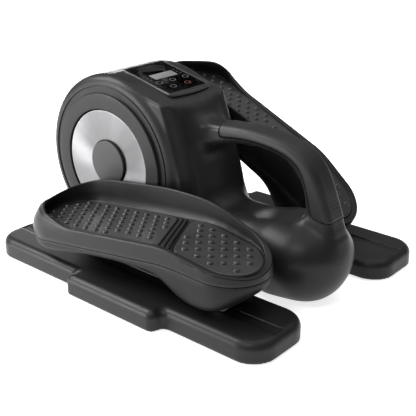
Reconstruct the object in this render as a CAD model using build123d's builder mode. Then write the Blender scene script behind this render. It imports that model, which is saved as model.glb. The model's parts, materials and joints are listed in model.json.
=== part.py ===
from build123d import *
import math
import os

# Under-desk electric pedal exerciser.  Millimetres, +Z up, origin on the floor under the middle of
# the two side plates.  +X points at the user's heels, -X at the toes, the user's left side is -Y.

# ---------------------------------------------------------------- driving dimensions
SIDES = {"left": -1, "right": 1}

FOOT_HEIGHT = 2.0
FOOT_RADIUS = 9.0
PLATE_LENGTH = 428.0
PLATE_WIDTH = 95.0
PLATE_MID_Y = 120.4
PLATE_TOP = 25.4
PLATE_CORNER = 31.0
PLATE_EDGE = 6.0
PLATE_WALL = 3.0
PLATE_ROOF = 18.6
BUMP_MID_X = 12.5
BUMP_LENGTH = 143.0
BUMP_OUT_Y = 184.3
BUMP_CORNER = 10.0
TRACK_Y = 124.0
TRACK_WIDTH = 16.0
TRACK_DEPTH = 1.4
TRACK_LENGTH = 414.0
TRACK_CORNER = 1.5
COVER_TOP = 4.5

BEAM_X = (-120.0, 70.0)
BEAM_WIDTH = 30.0
BEAM_TOP = 18.5
BEAM_HALF = 150.0
BEAM_WALL = 2.0
SLOT_GAP = 0.5

FRAME_TOP = 21.5
FRAME_HALF = 34.0
FRAME_X = (-145.0, 150.0)

SHAFT_X = -105.4
SHAFT_Z = 120.0
SHAFT_RADIUS = 6.0
CRANK_RADIUS = 56.0
CRANK_ANGLE = 5.0
BEARING_RADIUS = 14.0
BRACKET_Y = 42.0
BRACKET_THICK = 6.0
RUNNING_GAP = 0.05

DRUM_RADIUS = 111.0
DRUM_HALF = 63.0
DRUM_FACE_RADIUS = 99.0
DRUM_CROWN_HALF = 48.0
DRUM_CROWN_DROP = 3.5
DRUM_CROWN_IN = 5.0
WALL = 3.0
OPENING_RADIUS = 69.2
RING_RADIUS = 88.5
FACE_Y = 66.0
DISC_RADIUS = 66.0
TRIM_RADIUS = 67.9
HUB_RADIUS = 30.6
HUB_GAP = 0.8
PIN_RADIUS = 4.0
PIN_FLANGE = 9.0

NECK_HALF = 57.0
NECK_CORNER = 22.0
NECK_MID_X = -27.0
NECK_PLAN_LENGTH = 160.0
NECK_TOP_BACK_Z = 228.6
NECK_TOP_FRONT = (-22.0, 210.1)
NECK_SHOULDER = (-2.0, 196.0)
NECK_WAIST = (33.0, 112.0)
NECK_FOOT_X = 46.0
BELLY_HALF = 40.0
BELLY_TOP = 86.0
HOUSING_BOTTOM = 4.0
BULB_X = 152.0
BULB_RADIUS = 57.0
BULB_MID_Z = 46.0
BULB_SEMI_Z = 54.0
TAIL_X = -190.0
TAIL_HALF = 35.0
TAIL_TOP = 58.0
TAIL_CORNER = 5.0
BELLY_CORNER = 16.0
RING_SEAT = 1.0
PANEL_CUT = 30.0
PANEL_POCKET = 12.0

PANEL_X = -62.0
PANEL_Z = 220.6
PANEL_TILT = 12.7
PANEL_LENGTH = 84.0
PANEL_WIDTH = 72.0
PANEL_RIM = 5.0
PANEL_CORNER = 6.0
PANEL_GAP = 0.2
PANEL_INNER_CORNER = 4.0
LENS_SEAT = 1.0
LENS_THICK = 2.5

HANDLE_HALF = 17.0
HANDLE_ROUND = 9.0
HANDLE_OUTER = ((8, 186), (118, 187), (167, 166), (186, 128), (194, 84))
HANDLE_INNER = ((152, 84), (157, 126), (146, 152), (116, 164), (8, 152))
GRIP_HALF = 12.5
GRIP_THICK = 4.0
GRIP_MIDDLE = (145, 150)
GRIP_WINDOW = (214, 96)

MOTOR_X = -18.0
MOTOR_Z = 60.0
MOTOR_RADIUS = 26.0
MOTOR_PULLEY_RADIUS = 12.0
DRIVE_PULLEY_RADIUS = 48.0
BELT_Y = 13.0
BELT_WIDTH = 10.0
BELT_THICK = 2.5
BELT_GAP = 0.3

SWITCH_Y = 18.0
INLET_Y = -16.0
SOCKET_Z = 32.0

# pedal, in the frame of its own deck: s runs from the toe tip to the heel, h is the height over
# the low rim.  The crank end and the roller end of the left pedal fix both pedals' places.
PEDAL_LENGTH = 336.0
TOE_RADIUS = 53.0
TOE_Y = 124.0
HEEL_RADIUS = 47.0
HEEL_Y = 118.0
PEDAL_WALL = 4.0
SHELL_INSET = 1.5
PAD_MARGIN = 5.0
DECK_TILT = 6.84
CREST_S = 240.0
HEEL_DROP = 15.7
TOE_TIP_S = -55.5
TOE_TIP_H = 4.1
FLOOR_H = -3.5
FLOOR_THICK = 4.0
SEAM_H = -20.0
SEAM_DROP = 9.8
PAD_SINK = 1.0
PAD_THICK = 2.2
PAD_GAP = 0.15
RIDGE_ANGLE = 28.0
AXLE_RADIUS = 3.0
AXLE_HALF = 19.0
AXLE_BOSS = 8.0
BUSH_RADIUS = 6.3
BUSH_DEPTH = 9.0
BOSS_WALL = 2.5
ROLLER_RADIUS = 15.0
ROLLER_WIDTH = 12.0
ROLLER_HUB = 9.5
LINK_LENGTH = 233.0
CREST_SOFT = 120.0
DECK_START_S = -12.0
PAD_TOE_END_S = 206.0
PAD_SPLIT_S = 232.0
TOUCH_GAP = 0.3

# ---------------------------------------------------------------- worked out from them
TRACK_FLOOR = PLATE_TOP - TRACK_DEPTH
AXLE_Z = TRACK_FLOOR + ROLLER_RADIUS + TOUCH_GAP
SHAFT_AXIS = Axis((SHAFT_X, 0, SHAFT_Z), (0, 1, 0))
PEDAL_INNER_Y = TOE_Y - TOE_RADIUS
PIN_END_Y = PEDAL_INNER_Y - 0.6


def pin_point(side):
    """Centre of the crank pin: the left one near the bottom, the right one opposite."""
    turn = math.radians(CRANK_ANGLE)
    reach = -side * CRANK_RADIUS
    return SHAFT_X + reach * math.sin(turn), SHAFT_Z - reach * math.cos(turn)


def link_angle(side):
    """Slope of the line from crank pin to roller axle, positive when the axle is higher."""
    return math.degrees(math.asin((AXLE_Z - pin_point(side)[1]) / LINK_LENGTH))


def axle_point(side):
    """Centre of the roller axle under the heel."""
    x = pin_point(side)[0] + LINK_LENGTH * math.cos(math.radians(link_angle(side)))
    return x, AXLE_Z


def deck_angle(side):
    """Slope of the front deck; both pedals hold the same angle to their own link line."""
    return DECK_TILT + link_angle(side) - link_angle(SIDES["left"])


def toe_tip(side):
    """Toe tip at low-rim height, carried round with the pedal from the left pedal's pose."""
    turn = math.radians(deck_angle(side) - DECK_TILT)
    pin_x, pin_z = pin_point(side)
    x = TOE_TIP_S * math.cos(turn) - TOE_TIP_H * math.sin(turn)
    z = TOE_TIP_S * math.sin(turn) + TOE_TIP_H * math.cos(turn)
    return pin_x + x, pin_z + z


def deck_plane(side):
    """Plane of the low rim: x along the pedal, y across it, z away from the deck."""
    angle = math.radians(deck_angle(side))
    x, z = toe_tip(side)
    return Plane(
        origin=(x, 0, z),
        x_dir=(math.cos(angle), 0, math.sin(angle)),
        z_dir=(-math.sin(angle), 0, math.cos(angle)),
    )


def profile_plane(side):
    """Side view of a pedal: x is s, y is h, and the plane stands in the middle of the machine."""
    deck = deck_plane(side)
    return Plane(origin=deck.origin, x_dir=deck.x_dir, z_dir=(0, -1, 0))


def side_plane(side, y):
    """Upright plane at this distance from the middle, its normal pointing outwards."""
    return Plane(origin=(0, side * y, 0), x_dir=(1, 0, 0), z_dir=(0, side, 0))


def on_side(side, x, z):
    """The point x, z of the machine in the local coordinates of side_plane."""
    return x, -side * z


def save(part, name):
    part.label = name
    export_step(part, f"parts/{name}.step")


def disc(side, x, z, inner_y, outer_y, radius, bore=0.0):
    """A round piece about a crosswise axis, between two distances from the middle."""
    with BuildPart() as piece:
        with BuildSketch(side_plane(side, inner_y)):
            with Locations(on_side(side, x, z)):
                Circle(radius)
                if bore:
                    Circle(bore, mode=Mode.SUBTRACT)
        extrude(amount=outer_y - inner_y)
    return piece.part


# ---------------------------------------------------------------- side plates and base
def plate_outline(side, inset):
    """Plan of a side plate with its step-out in the middle of the outer edge."""
    with BuildSketch() as outline:
        with Locations((0, side * PLATE_MID_Y)):
            RectangleRounded(PLATE_LENGTH - 2 * inset, PLATE_WIDTH - 2 * inset, PLATE_CORNER - inset)
        with Locations((BUMP_MID_X, side * (BUMP_OUT_Y + PLATE_MID_Y) / 2)):
            RectangleRounded(
                BUMP_LENGTH - 2 * inset, BUMP_OUT_Y - PLATE_MID_Y - 2 * inset, BUMP_CORNER - inset
            )
    return outline.sketch


def beam_slots(half):
    """Windows for the two cross beams, as wide as the beams and a little gap."""
    with BuildPart() as slots:
        with BuildSketch(Plane.XY.offset(COVER_TOP - SLOT_GAP)):
            with Locations(*[(x, 0) for x in BEAM_X]):
                Rectangle(BEAM_WIDTH + 2 * SLOT_GAP, 2 * half)
        extrude(amount=BEAM_TOP - COVER_TOP + 2 * SLOT_GAP)
    return slots.part


SCREW_SPOTS = [(x + dx, y) for x in BEAM_X for dx in (-9, 9) for y in (-130, -108, 108, 130)]
BOLT_SPOTS = [(x, y) for x in BEAM_X for y in (-24, 24)]
SHELL_SPOTS = [(x, y) for x in (-140, 132) for y in (-18, 18)]
FOOT_SPOTS = [(x, y) for x in (-175, 175) for y in (-150, -92, 92, 150)]
SCREW_RADIUS = 1.8
SCREW_HEAD = 1.6
SHELL_SCREW_HEAD = 1.8
BOLT_RADIUS = 3.0
BOLT_HEAD = 4.0

for name, side in SIDES.items():
    with BuildPart() as side_plate:
        with BuildSketch(Plane.XY.offset(FOOT_HEIGHT)):
            add(plate_outline(side, 0))
        extrude(amount=PLATE_TOP - FOOT_HEIGHT)
        fillet(side_plate.faces().sort_by(Axis.Z)[-1].edges(), PLATE_EDGE)
        with BuildSketch(Plane.XY.offset(FOOT_HEIGHT)):
            add(plate_outline(side, PLATE_WALL))
        extrude(amount=PLATE_ROOF - FOOT_HEIGHT, mode=Mode.SUBTRACT)
        with BuildSketch(Plane.XY.offset(TRACK_FLOOR)):
            with Locations((0, side * TRACK_Y)):
                RectangleRounded(TRACK_LENGTH, TRACK_WIDTH, TRACK_CORNER)
        extrude(amount=TRACK_DEPTH, mode=Mode.SUBTRACT)
        add(beam_slots(BEAM_HALF), mode=Mode.SUBTRACT)
    save(side_plate.part, f"side_plate_{name}")

    with BuildPart() as plate_base:
        with BuildSketch(Plane.XY.offset(FOOT_HEIGHT)):
            add(plate_outline(side, PLATE_WALL + PAD_GAP))
            with Locations(*[spot for spot in SCREW_SPOTS if spot[1] * side > 0]):
                Circle(SCREW_RADIUS, mode=Mode.SUBTRACT)
        extrude(amount=COVER_TOP - FOOT_HEIGHT)
    save(plate_base.part, f"plate_base_{name}")

with BuildPart() as rubber_feet:
    with BuildSketch():
        with Locations(*FOOT_SPOTS):
            Circle(FOOT_RADIUS)
    extrude(amount=FOOT_HEIGHT)
save(rubber_feet.part, "rubber_feet")

for name, beam_x in zip(("toe", "heel"), BEAM_X):
    with BuildPart() as beam:
        with BuildSketch(Plane.XY.offset(COVER_TOP)):
            with Locations((beam_x, 0)):
                Rectangle(BEAM_WIDTH, 2 * BEAM_HALF)
        extrude(amount=BEAM_TOP - COVER_TOP)
        with BuildSketch(Plane.XY.offset(COVER_TOP + BEAM_WALL)):
            with Locations((beam_x, 0)):
                Rectangle(BEAM_WIDTH - 2 * BEAM_WALL, 2 * BEAM_HALF)
        extrude(amount=BEAM_TOP - COVER_TOP - 2 * BEAM_WALL, mode=Mode.SUBTRACT)
        with BuildSketch(Plane.XY.offset(COVER_TOP)):
            with Locations(*[spot for spot in SCREW_SPOTS if abs(spot[0] - beam_x) < BEAM_WIDTH]):
                Circle(SCREW_RADIUS)
        extrude(amount=BEAM_WALL, mode=Mode.SUBTRACT)
        with BuildSketch(Plane.XY.offset(COVER_TOP)):
            with Locations(*[spot for spot in BOLT_SPOTS if spot[0] == beam_x]):
                Circle(BOLT_RADIUS)
        extrude(amount=BEAM_TOP, mode=Mode.SUBTRACT)
    save(beam.part, f"cross_beam_{name}")

with BuildPart() as plate_screws:
    with BuildSketch(Plane.XY.offset(FOOT_HEIGHT - SCREW_HEAD)):
        with Locations(*SCREW_SPOTS):
            Circle(2 * SCREW_RADIUS)
    extrude(amount=SCREW_HEAD)
    with BuildSketch(Plane.XY.offset(FOOT_HEIGHT)):
        with Locations(*SCREW_SPOTS):
            Circle(SCREW_RADIUS)
    extrude(amount=COVER_TOP + BEAM_WALL - FOOT_HEIGHT)
save(plate_screws.part, "plate_screws")

with BuildPart() as base_frame:
    with BuildSketch(Plane.XY.offset(BEAM_TOP)):
        with Locations(((FRAME_X[0] + FRAME_X[1]) / 2, 0)):
            RectangleRounded(FRAME_X[1] - FRAME_X[0], 2 * FRAME_HALF, 10)
        with Locations((SHAFT_X, 0)):
            Rectangle(40, 2 * (BRACKET_Y + BRACKET_THICK))
        with Locations(*BOLT_SPOTS):
            Circle(BOLT_RADIUS, mode=Mode.SUBTRACT)
        with Locations(*SHELL_SPOTS):
            Circle(SCREW_RADIUS, mode=Mode.SUBTRACT)
    extrude(amount=FRAME_TOP - BEAM_TOP)
save(base_frame.part, "base_frame")

with BuildPart() as frame_bolts:
    with BuildSketch(Plane.XY.offset(FRAME_TOP)):
        with Locations(*BOLT_SPOTS):
            RegularPolygon(2 * BOLT_RADIUS, 6)
    extrude(amount=BOLT_HEAD)
    with BuildSketch(Plane.XY.offset(COVER_TOP)):
        with Locations(*BOLT_SPOTS):
            Circle(BOLT_RADIUS)
    extrude(amount=FRAME_TOP - COVER_TOP)
save(frame_bolts.part, "frame_bolts")

# ---------------------------------------------------------------- housing
def housing_solid(inset):
    """Outer body, or its hollow when inset by the wall: drum, neck, belly, heel bulb and tail."""
    with BuildPart() as body:
        with BuildSketch(Plane(origin=(SHAFT_X, 0, SHAFT_Z))):
            with BuildLine():
                Polyline(
                    (DRUM_RADIUS - inset, -DRUM_CROWN_HALF),
                    (DRUM_RADIUS - inset, DRUM_CROWN_HALF),
                )
                ThreePointArc(
                    (DRUM_RADIUS - inset, DRUM_CROWN_HALF),
                    (DRUM_RADIUS - DRUM_CROWN_DROP - inset, DRUM_HALF - DRUM_CROWN_IN - inset),
                    (DRUM_FACE_RADIUS - inset, DRUM_HALF - inset),
                )
                Polyline(
                    (DRUM_FACE_RADIUS - inset, DRUM_HALF - inset),
                    (0, DRUM_HALF - inset),
                    (0, -DRUM_HALF + inset),
                    (DRUM_FACE_RADIUS - inset, -DRUM_HALF + inset),
                )
                ThreePointArc(
                    (DRUM_FACE_RADIUS - inset, -DRUM_HALF + inset),
                    (DRUM_RADIUS - DRUM_CROWN_DROP - inset, -DRUM_HALF + DRUM_CROWN_IN + inset),
                    (DRUM_RADIUS - inset, -DRUM_CROWN_HALF),
                )
            make_face()
        revolve(axis=SHAFT_AXIS)
        with BuildPart(mode=Mode.PRIVATE) as neck:
            with BuildSketch(Plane.XZ):
                with BuildLine():
                    Polyline(
                        (SHAFT_X, NECK_TOP_BACK_Z - inset),
                        (NECK_TOP_FRONT[0], NECK_TOP_FRONT[1] - inset),
                        (NECK_SHOULDER[0] - inset, NECK_SHOULDER[1]),
                        (NECK_WAIST[0] - inset, NECK_WAIST[1]),
                        (NECK_FOOT_X - inset, HOUSING_BOTTOM + inset),
                        (SHAFT_X, HOUSING_BOTTOM + inset),
                        close=True,
                    )
                make_face()
            extrude(amount=NECK_HALF - inset, both=True)
            with BuildSketch(Plane.XY):
                with Locations((NECK_MID_X - inset, 0)):
                    RectangleRounded(NECK_PLAN_LENGTH, 2 * (NECK_HALF - inset), NECK_CORNER - inset)
            extrude(amount=2 * SHAFT_Z, mode=Mode.INTERSECT)
        add(neck.part)
        with BuildSketch(Plane.YZ.offset(TAIL_X + inset)):
            with Locations((0, (HOUSING_BOTTOM + TAIL_TOP) / 2)):
                RectangleRounded(
                    2 * (TAIL_HALF - inset), TAIL_TOP - HOUSING_BOTTOM - 2 * inset, TAIL_CORNER
                )
        extrude(amount=SHAFT_X - TAIL_X)
        with BuildSketch(Plane.YZ.offset(SHAFT_X)):
            with Locations((0, (HOUSING_BOTTOM + BELLY_TOP) / 2)):
                RectangleRounded(
                    2 * (BELLY_HALF - inset), BELLY_TOP - HOUSING_BOTTOM - 2 * inset, BELLY_CORNER
                )
        extrude(amount=BULB_X - SHAFT_X)
        with BuildPart(mode=Mode.PRIVATE) as bulb:
            with BuildSketch(Plane(origin=(BULB_X, 0, BULB_MID_Z), x_dir=(1, 0, 0), z_dir=(0, -1, 0))):
                Ellipse(BULB_RADIUS - inset, BULB_SEMI_Z - inset)
                with Locations((-BULB_RADIUS, 0)):
                    Rectangle(2 * BULB_RADIUS, 4 * BULB_SEMI_Z, mode=Mode.SUBTRACT)
            revolve(axis=Axis((BULB_X, 0, 0), (0, 0, 1)))
            split(bisect_by=Plane.XY.offset(HOUSING_BOTTOM + inset), keep=Keep.TOP)
        add(bulb.part)
    return body.part


def panel_plane(offset):
    tilt = math.radians(PANEL_TILT)
    return Plane(
        origin=(PANEL_X + offset * math.sin(tilt), 0, PANEL_Z + offset * math.cos(tilt)),
        x_dir=(math.cos(tilt), 0, -math.sin(tilt)),
        z_dir=(math.sin(tilt), 0, math.cos(tilt)),
    )


SOCKET_SIZES = {INLET_Y: (24.0, 16.0), SWITCH_Y: (14.0, 21.0)}
SHELL_OUTER = housing_solid(0)
SHELL_INNER = housing_solid(WALL)

with BuildPart() as shell:
    add(SHELL_OUTER)
    add(SHELL_INNER, mode=Mode.SUBTRACT)
    for side in SIDES.values():
        with BuildSketch(side_plane(side, 0)):
            with Locations(on_side(side, SHAFT_X, SHAFT_Z)):
                Circle(OPENING_RADIUS)
        extrude(amount=FACE_Y, mode=Mode.SUBTRACT)
        with BuildSketch(side_plane(side, DRUM_HALF - RING_SEAT)):
            with Locations(on_side(side, SHAFT_X, SHAFT_Z)):
                Circle(RING_RADIUS + PAD_GAP)
        extrude(amount=FACE_Y, mode=Mode.SUBTRACT)
    with BuildSketch(panel_plane(-PANEL_POCKET)):
        RectangleRounded(PANEL_LENGTH - 2 * PANEL_RIM, PANEL_WIDTH - 2 * PANEL_RIM, PANEL_CORNER)
    extrude(amount=PANEL_CUT, mode=Mode.SUBTRACT)
    with BuildSketch(panel_plane(0)):
        RectangleRounded(PANEL_LENGTH + 2 * PANEL_GAP, PANEL_WIDTH + 2 * PANEL_GAP, PANEL_CORNER)
    extrude(amount=PANEL_CUT, mode=Mode.SUBTRACT)
    add(beam_slots(BEAM_HALF), mode=Mode.SUBTRACT)
    with BuildSketch(Plane.YZ.offset(TAIL_X - 1)):
        for y, size in SOCKET_SIZES.items():
            with Locations((y, SOCKET_Z)):
                Rectangle(*size)
    extrude(amount=WALL + 6, mode=Mode.SUBTRACT)
    with BuildSketch():
        with Locations(*SHELL_SPOTS):
            Circle(SCREW_RADIUS)
    extrude(amount=BEAM_TOP, mode=Mode.SUBTRACT)

for name, keep in (("left", Keep.BOTTOM), ("right", Keep.TOP)):
    with BuildPart() as housing_half:
        add(shell.part)
        split(bisect_by=Plane(origin=(0, 0, 0), x_dir=(1, 0, 0), z_dir=(0, 1, 0)), keep=keep)
    save(housing_half.part, f"housing_{name}")

with BuildPart() as housing_screws:
    with BuildSketch(Plane.XY.offset(HOUSING_BOTTOM - SHELL_SCREW_HEAD)):
        with Locations(*SHELL_SPOTS):
            Circle(2 * SCREW_RADIUS)
    extrude(amount=SHELL_SCREW_HEAD)
    with BuildSketch(Plane.XY.offset(HOUSING_BOTTOM)):
        with Locations(*SHELL_SPOTS):
            Circle(SCREW_RADIUS)
    extrude(amount=FRAME_TOP - HOUSING_BOTTOM)
save(housing_screws.part, "housing_screws")

for name, side in SIDES.items():
    ring = disc(
        side, SHAFT_X, SHAFT_Z, DRUM_HALF - RING_SEAT, FACE_Y, RING_RADIUS, OPENING_RADIUS
    )
    save(ring, f"side_ring_{name}")

# ---------------------------------------------------------------- handle
def handle_side(inset):
    """Side view of the carrying handle, drawn flat; inset moves only its outer edge."""
    root, crown, shoulder, elbow, foot = HANDLE_OUTER
    with BuildSketch() as outline:
        with BuildLine():
            Line((root[0], root[1] - inset), (crown[0], crown[1] - inset))
            ThreePointArc(
                (crown[0], crown[1] - inset),
                (shoulder[0] - 0.7 * inset, shoulder[1] - 0.7 * inset),
                (elbow[0] - inset, elbow[1]),
            )
            Polyline(
                (elbow[0] - inset, elbow[1]), (foot[0] - inset, foot[1]), HANDLE_INNER[0], HANDLE_INNER[1]
            )
            ThreePointArc(*HANDLE_INNER[1:4])
            Polyline(HANDLE_INNER[3], HANDLE_INNER[4], (root[0], root[1] - inset))
        make_face()
    return outline.sketch


def handle_bar_solid(inset, half):
    """The carrying handle this wide each side of the middle; inset moves only its outer edge."""
    with BuildPart() as bar:
        with BuildSketch(Plane.XZ.offset(-half)):
            add(handle_side(inset))
        extrude(amount=2 * half)
    return bar.part


with BuildPart() as handle_bar:
    add(handle_bar_solid(0, HANDLE_HALF))
    fillet(handle_bar.faces().filter_by(Axis.Y).edges(), HANDLE_ROUND)

with BuildPart() as grip_zone:
    add(handle_bar_solid(0, GRIP_HALF))
    add(handle_bar_solid(GRIP_THICK, GRIP_HALF), mode=Mode.SUBTRACT)
    with BuildSketch(Plane.XZ.offset(-GRIP_HALF)):
        with Locations(GRIP_MIDDLE):
            Rectangle(*GRIP_WINDOW)
    extrude(amount=2 * GRIP_HALF, mode=Mode.INTERSECT)

with BuildPart() as handle_grip:
    add(grip_zone.part)
    add(handle_bar.part, mode=Mode.INTERSECT)
save(handle_grip.part, "handle_grip")

with BuildPart() as handle_core:
    add(handle_bar.part)
    add(grip_zone.part, mode=Mode.SUBTRACT)
    add(SHELL_OUTER, mode=Mode.SUBTRACT)
save(handle_core.part, "handle_core")

# ---------------------------------------------------------------- display
with BuildPart() as display_bezel:
    with BuildSketch(panel_plane(0)):
        RectangleRounded(PANEL_LENGTH, PANEL_WIDTH, PANEL_CORNER)
        RectangleRounded(
            PANEL_LENGTH - 2 * PANEL_RIM, PANEL_WIDTH - 2 * PANEL_RIM, PANEL_INNER_CORNER,
            mode=Mode.SUBTRACT,
        )
    extrude(amount=PANEL_RIM)
save(display_bezel.part, "display_bezel")

with BuildPart() as display_lens:
    with BuildSketch(panel_plane(LENS_SEAT)):
        RectangleRounded(
            PANEL_LENGTH - 2 * (PANEL_RIM + PAD_GAP), PANEL_WIDTH - 2 * (PANEL_RIM + PAD_GAP),
            PANEL_INNER_CORNER,
        )
    extrude(amount=LENS_THICK)
save(display_lens.part, "display_lens")

with BuildPart() as display_board:
    with BuildSketch(panel_plane(-3)):
        Rectangle(PANEL_LENGTH - 18, PANEL_WIDTH - 18)
    extrude(amount=1.6)
    with BuildSketch(panel_plane(-1.4)):
        with Locations((-10, 0)):
            Rectangle(20, 40)
    extrude(amount=2.4)
save(display_board.part, "display_board")

# ---------------------------------------------------------------- drive inside the drum
for name, side in SIDES.items():
    with BuildPart() as bracket:
        with BuildSketch(side_plane(side, BRACKET_Y)) as bracket_face:
            with BuildLine():
                Polyline(
                    on_side(side, SHAFT_X - 24, FRAME_TOP),
                    on_side(side, SHAFT_X + 24, FRAME_TOP),
                    on_side(side, SHAFT_X + 20, SHAFT_Z),
                    on_side(side, SHAFT_X - 20, SHAFT_Z),
                    close=True,
                )
            make_face()
            with Locations(on_side(side, SHAFT_X, SHAFT_Z)):
                Circle(20)
                Circle(BEARING_RADIUS, mode=Mode.SUBTRACT)
        extrude(amount=BRACKET_THICK)
    save(bracket.part, f"bearing_bracket_{name}")
    bearing = disc(
        side, SHAFT_X, SHAFT_Z, BRACKET_Y - 1, BRACKET_Y + BRACKET_THICK + 1, BEARING_RADIUS,
        SHAFT_RADIUS + RUNNING_GAP,
    )
    save(bearing, f"shaft_bearing_{name}")

with BuildPart() as motor:
    with BuildSketch(side_plane(-1, -5)):
        with Locations(on_side(-1, MOTOR_X, MOTOR_Z)):
            Circle(MOTOR_RADIUS)
    extrude(amount=45)
    fillet(motor.edges().filter_by(GeomType.CIRCLE), 2.5)
    with BuildSketch(side_plane(-1, 40)):
        with Locations(on_side(-1, MOTOR_X, MOTOR_Z)):
            Circle(8)
    extrude(amount=4)
    with BuildSketch(side_plane(1, -5)):
        with Locations(on_side(1, MOTOR_X, MOTOR_Z)):
            Circle(3 + RUNNING_GAP)
    extrude(amount=10, mode=Mode.SUBTRACT)
save(motor.part, "motor")

with BuildPart() as motor_bracket:
    with BuildSketch(side_plane(1, 5)):
        with BuildLine():
            Polyline(
                on_side(1, MOTOR_X - 24, FRAME_TOP),
                on_side(1, MOTOR_X + 24, FRAME_TOP),
                on_side(1, MOTOR_X + 24, MOTOR_Z + 20),
                on_side(1, MOTOR_X - 24, MOTOR_Z + 20),
                close=True,
            )
        make_face()
        with Locations(on_side(1, MOTOR_X, MOTOR_Z)):
            Circle(10, mode=Mode.SUBTRACT)
    extrude(amount=3)
    with BuildSketch(Plane.XY.offset(FRAME_TOP)):
        with Locations((MOTOR_X, -10)):
            Rectangle(48, 30)
    extrude(amount=3)
save(motor_bracket.part, "motor_bracket")

with BuildPart() as motor_pulley:
    with BuildSketch(side_plane(1, BELT_Y - 1)):
        with Locations(on_side(1, MOTOR_X, MOTOR_Z)):
            Circle(MOTOR_PULLEY_RADIUS)
    extrude(amount=BELT_WIDTH + 2)
    with BuildSketch(side_plane(1, -4)):
        with Locations(on_side(1, MOTOR_X, MOTOR_Z)):
            Circle(3)
    extrude(amount=BELT_Y + 4)
save(motor_pulley.part, "motor_pulley")

drive_pulley = disc(
    1, SHAFT_X, SHAFT_Z, BELT_Y - 1, BELT_Y + BELT_WIDTH + 1, DRIVE_PULLEY_RADIUS, SHAFT_RADIUS
)
save(drive_pulley, "drive_pulley")


def belt_solid(grow):
    """The space inside a loop round both pulleys, so much larger than the pulleys."""
    with BuildPart() as loop:
        with BuildSketch(side_plane(1, BELT_Y)):
            with BuildSketch(mode=Mode.PRIVATE) as outline:
                with Locations(on_side(1, SHAFT_X, SHAFT_Z)):
                    Circle(DRIVE_PULLEY_RADIUS + grow)
                with Locations(on_side(1, MOTOR_X, MOTOR_Z)):
                    Circle(MOTOR_PULLEY_RADIUS + grow)
                make_hull()
            add(outline.sketch)
        extrude(amount=BELT_WIDTH)
    return loop.part


with BuildPart() as drive_belt:
    add(belt_solid(BELT_GAP + BELT_THICK))
    add(belt_solid(BELT_GAP), mode=Mode.SUBTRACT)
save(drive_belt.part, "drive_belt")

with BuildPart() as control_board:
    with BuildSketch(Plane.XY.offset(FRAME_TOP + 4)):
        with Locations((70, 0)):
            Rectangle(56, 44)
    extrude(amount=1.6)
    with BuildSketch(Plane.XY.offset(FRAME_TOP)):
        with Locations((70, 0)):
            with GridLocations(48, 26, 2, 2):
                Circle(3)
    extrude(amount=4)
    with BuildSketch(Plane.XY.offset(FRAME_TOP + 5.6)):
        with Locations((60, 6)):
            Rectangle(16, 20)
        with Locations((84, -8)):
            Circle(7)
    extrude(amount=14)
save(control_board.part, "control_board")

# ---------------------------------------------------------------- power inlet and rocker switch
with BuildPart() as power_inlet:
    with BuildSketch(Plane.YZ.offset(TAIL_X - 1.5)):
        with Locations((INLET_Y, SOCKET_Z)):
            RectangleRounded(28, 20, 3)
    extrude(amount=1.5)
    with BuildSketch(Plane.YZ.offset(TAIL_X)):
        with Locations((INLET_Y, SOCKET_Z)):
            Rectangle(24, 16)
    extrude(amount=18)
    with BuildSketch(Plane.YZ.offset(TAIL_X - 1.5)):
        with Locations((INLET_Y, SOCKET_Z)):
            SlotOverall(16, 9)
    extrude(amount=12, mode=Mode.SUBTRACT)
save(power_inlet.part, "power_inlet")

ROCKER_RADIUS = 9.0
ROCKER_X = TAIL_X + 7.0
with BuildPart() as switch_frame:
    with BuildSketch(Plane.YZ.offset(TAIL_X - 1.5)):
        with Locations((SWITCH_Y, SOCKET_Z)):
            RectangleRounded(18, 25, 2)
    extrude(amount=1.5)
    with BuildSketch(Plane.YZ.offset(TAIL_X)):
        with Locations((SWITCH_Y, SOCKET_Z)):
            Rectangle(*SOCKET_SIZES[SWITCH_Y])
    extrude(amount=18)
    with BuildSketch(Plane.YZ.offset(TAIL_X - 1.5)):
        with Locations((SWITCH_Y, SOCKET_Z)):
            Rectangle(11, 19)
    extrude(amount=17.5, mode=Mode.SUBTRACT)
save(switch_frame.part, "switch_frame")

with BuildPart() as power_switch:
    with BuildSketch(Plane(origin=(ROCKER_X, SWITCH_Y - 5, SOCKET_Z), x_dir=(1, 0, 0), z_dir=(0, 1, 0))):
        Circle(ROCKER_RADIUS)
        with Locations((5, 0)):
            Rectangle(10, 2 * ROCKER_RADIUS, mode=Mode.SUBTRACT)
        Circle(3)
    extrude(amount=10)
save(power_switch.part, "power_switch")

# ---------------------------------------------------------------- crank
crank_shaft = disc(1, SHAFT_X, SHAFT_Z, -56.0, 56.0, SHAFT_RADIUS)
save(crank_shaft, "crank_shaft")

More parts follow.
